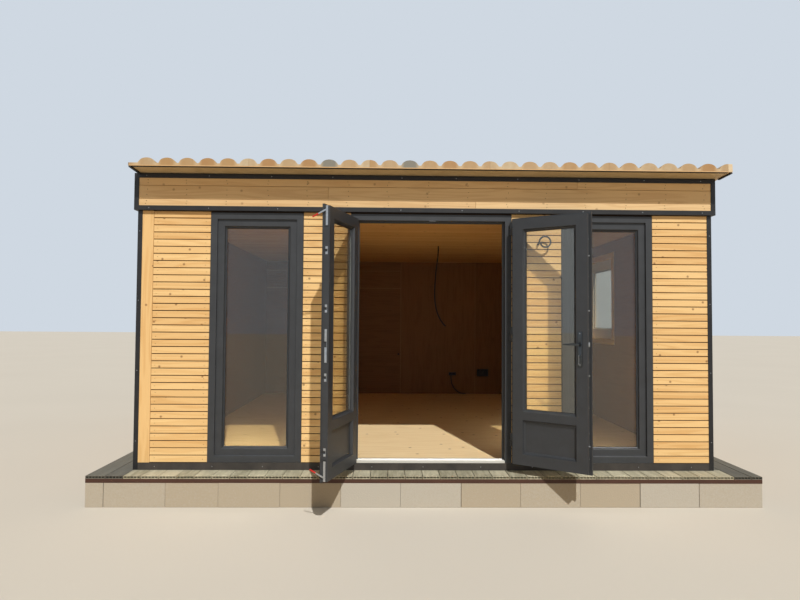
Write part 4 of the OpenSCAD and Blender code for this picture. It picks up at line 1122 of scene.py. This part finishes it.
class POD_OT_stage(bpy.types.Operator):
    """Set the pale floor, the soft studio light and the background"""
    bl_idname = "pod.stage"
    bl_label = "Stage"

    def execute(self, context):
        scene = context.scene
        bm = bmesh.new()
        bmesh.ops.create_grid(bm, x_segments=1, y_segments=1, size=60)
        mesh = bpy.data.meshes.new("floor")
        bm.to_mesh(mesh)
        bm.free()
        made, tree, shader = surface("Studio floor", 0.9)
        pale = blend(tree, noise(tree, on_object(tree), 0.4, 2.0), linear("D2CCC1"), linear("CCC6BB"))
        # Light that the floor throws up is warmer, as from the photo's earth
        bounced = add(tree, "ShaderNodeLightPath", out="Is Diffuse Ray")
        tree.links.new(blend(tree, bounced, pale, linear("C8AE8C")), shader.inputs["Base Color"])
        mesh.materials.append(made)
        floor = bpy.data.objects.new("floor", mesh)
        context.collection.objects.link(floor)
        lamp = bpy.data.lights.new("key", "SUN")
        lamp.energy, lamp.angle, lamp.color = 3.3, math.radians(1), (1.0, 0.97, 0.92)
        key = bpy.data.objects.new("key", lamp)
        rise = math.radians(48)
        aim = Vector((-0.25 * math.cos(rise), math.cos(rise), -math.sin(rise)))
        key.rotation_euler = aim.to_track_quat("-Z", "Y").to_euler()
        context.collection.objects.link(key)
        world = bpy.data.worlds.new("studio")
        scene.world = world
        world.use_nodes = True
        tree = world.node_tree
        tree.nodes.clear()
        # What the camera, the glass and the gloss see is the pale sky; all else gets the soft fill
        rays = add(tree, "ShaderNodeLightPath").outputs
        seen = maths(tree, "MAXIMUM", rays["Is Camera Ray"], rays["Is Glossy Ray"])
        seen = maths(tree, "MAXIMUM", seen, rays["Is Transmission Ray"])
        fill = add(tree, "ShaderNodeBackground", {"Color": linear("F6F2EC"), "Strength": 0.3}, 0)
        back = add(tree, "ShaderNodeBackground", {"Color": linear("CFD8E2"), "Strength": 1.0}, 0)
        both = add(tree, "ShaderNodeMixShader", {0: seen, 1: fill, 2: back}, 0)
        add(tree, "ShaderNodeOutputWorld", {"Surface": both})
        scene.view_settings.view_transform = "Standard"
        return {"FINISHED"}


STEPS = (POD_OT_camera, POD_OT_conduits, POD_OT_plinth, POD_OT_cladding, POD_OT_trims, POD_OT_roof, POD_OT_room,
         POD_OT_windows, POD_OT_door_set, POD_OT_leaves, POD_OT_hardware, POD_OT_stage)


class POD_PT_panel(bpy.types.Panel):
    """The pod's sizes, colours and pieces"""
    bl_idname = "POD_PT_panel"
    bl_label = "Garden office pod"
    bl_space_type = "VIEW_3D"
    bl_region_type = "UI"
    bl_category = "Pod"

    def draw(self, context):
        for group in (context.scene.pod_sizes, context.scene.pod_colours):
            for name in group.__annotations__:
                self.layout.prop(group, name)
        for step in STEPS:
            self.layout.operator(step.bl_idname)


CLASSES = (PodSizes, PodColours) + STEPS + (POD_PT_panel,)


def register():
    for cls in CLASSES:
        bpy.utils.register_class(cls)
    bpy.types.Scene.pod_sizes = PointerProperty(type=PodSizes)
    bpy.types.Scene.pod_colours = PointerProperty(type=PodColours)


def unregister():
    del bpy.types.Scene.pod_colours
    del bpy.types.Scene.pod_sizes
    for cls in reversed(CLASSES):
        bpy.utils.unregister_class(cls)


def main():
    register()
    for step in STEPS:
        group, name = step.bl_idname.split(".")
        getattr(getattr(bpy.ops, group), name)()


if __name__ == "__main__":
    main()
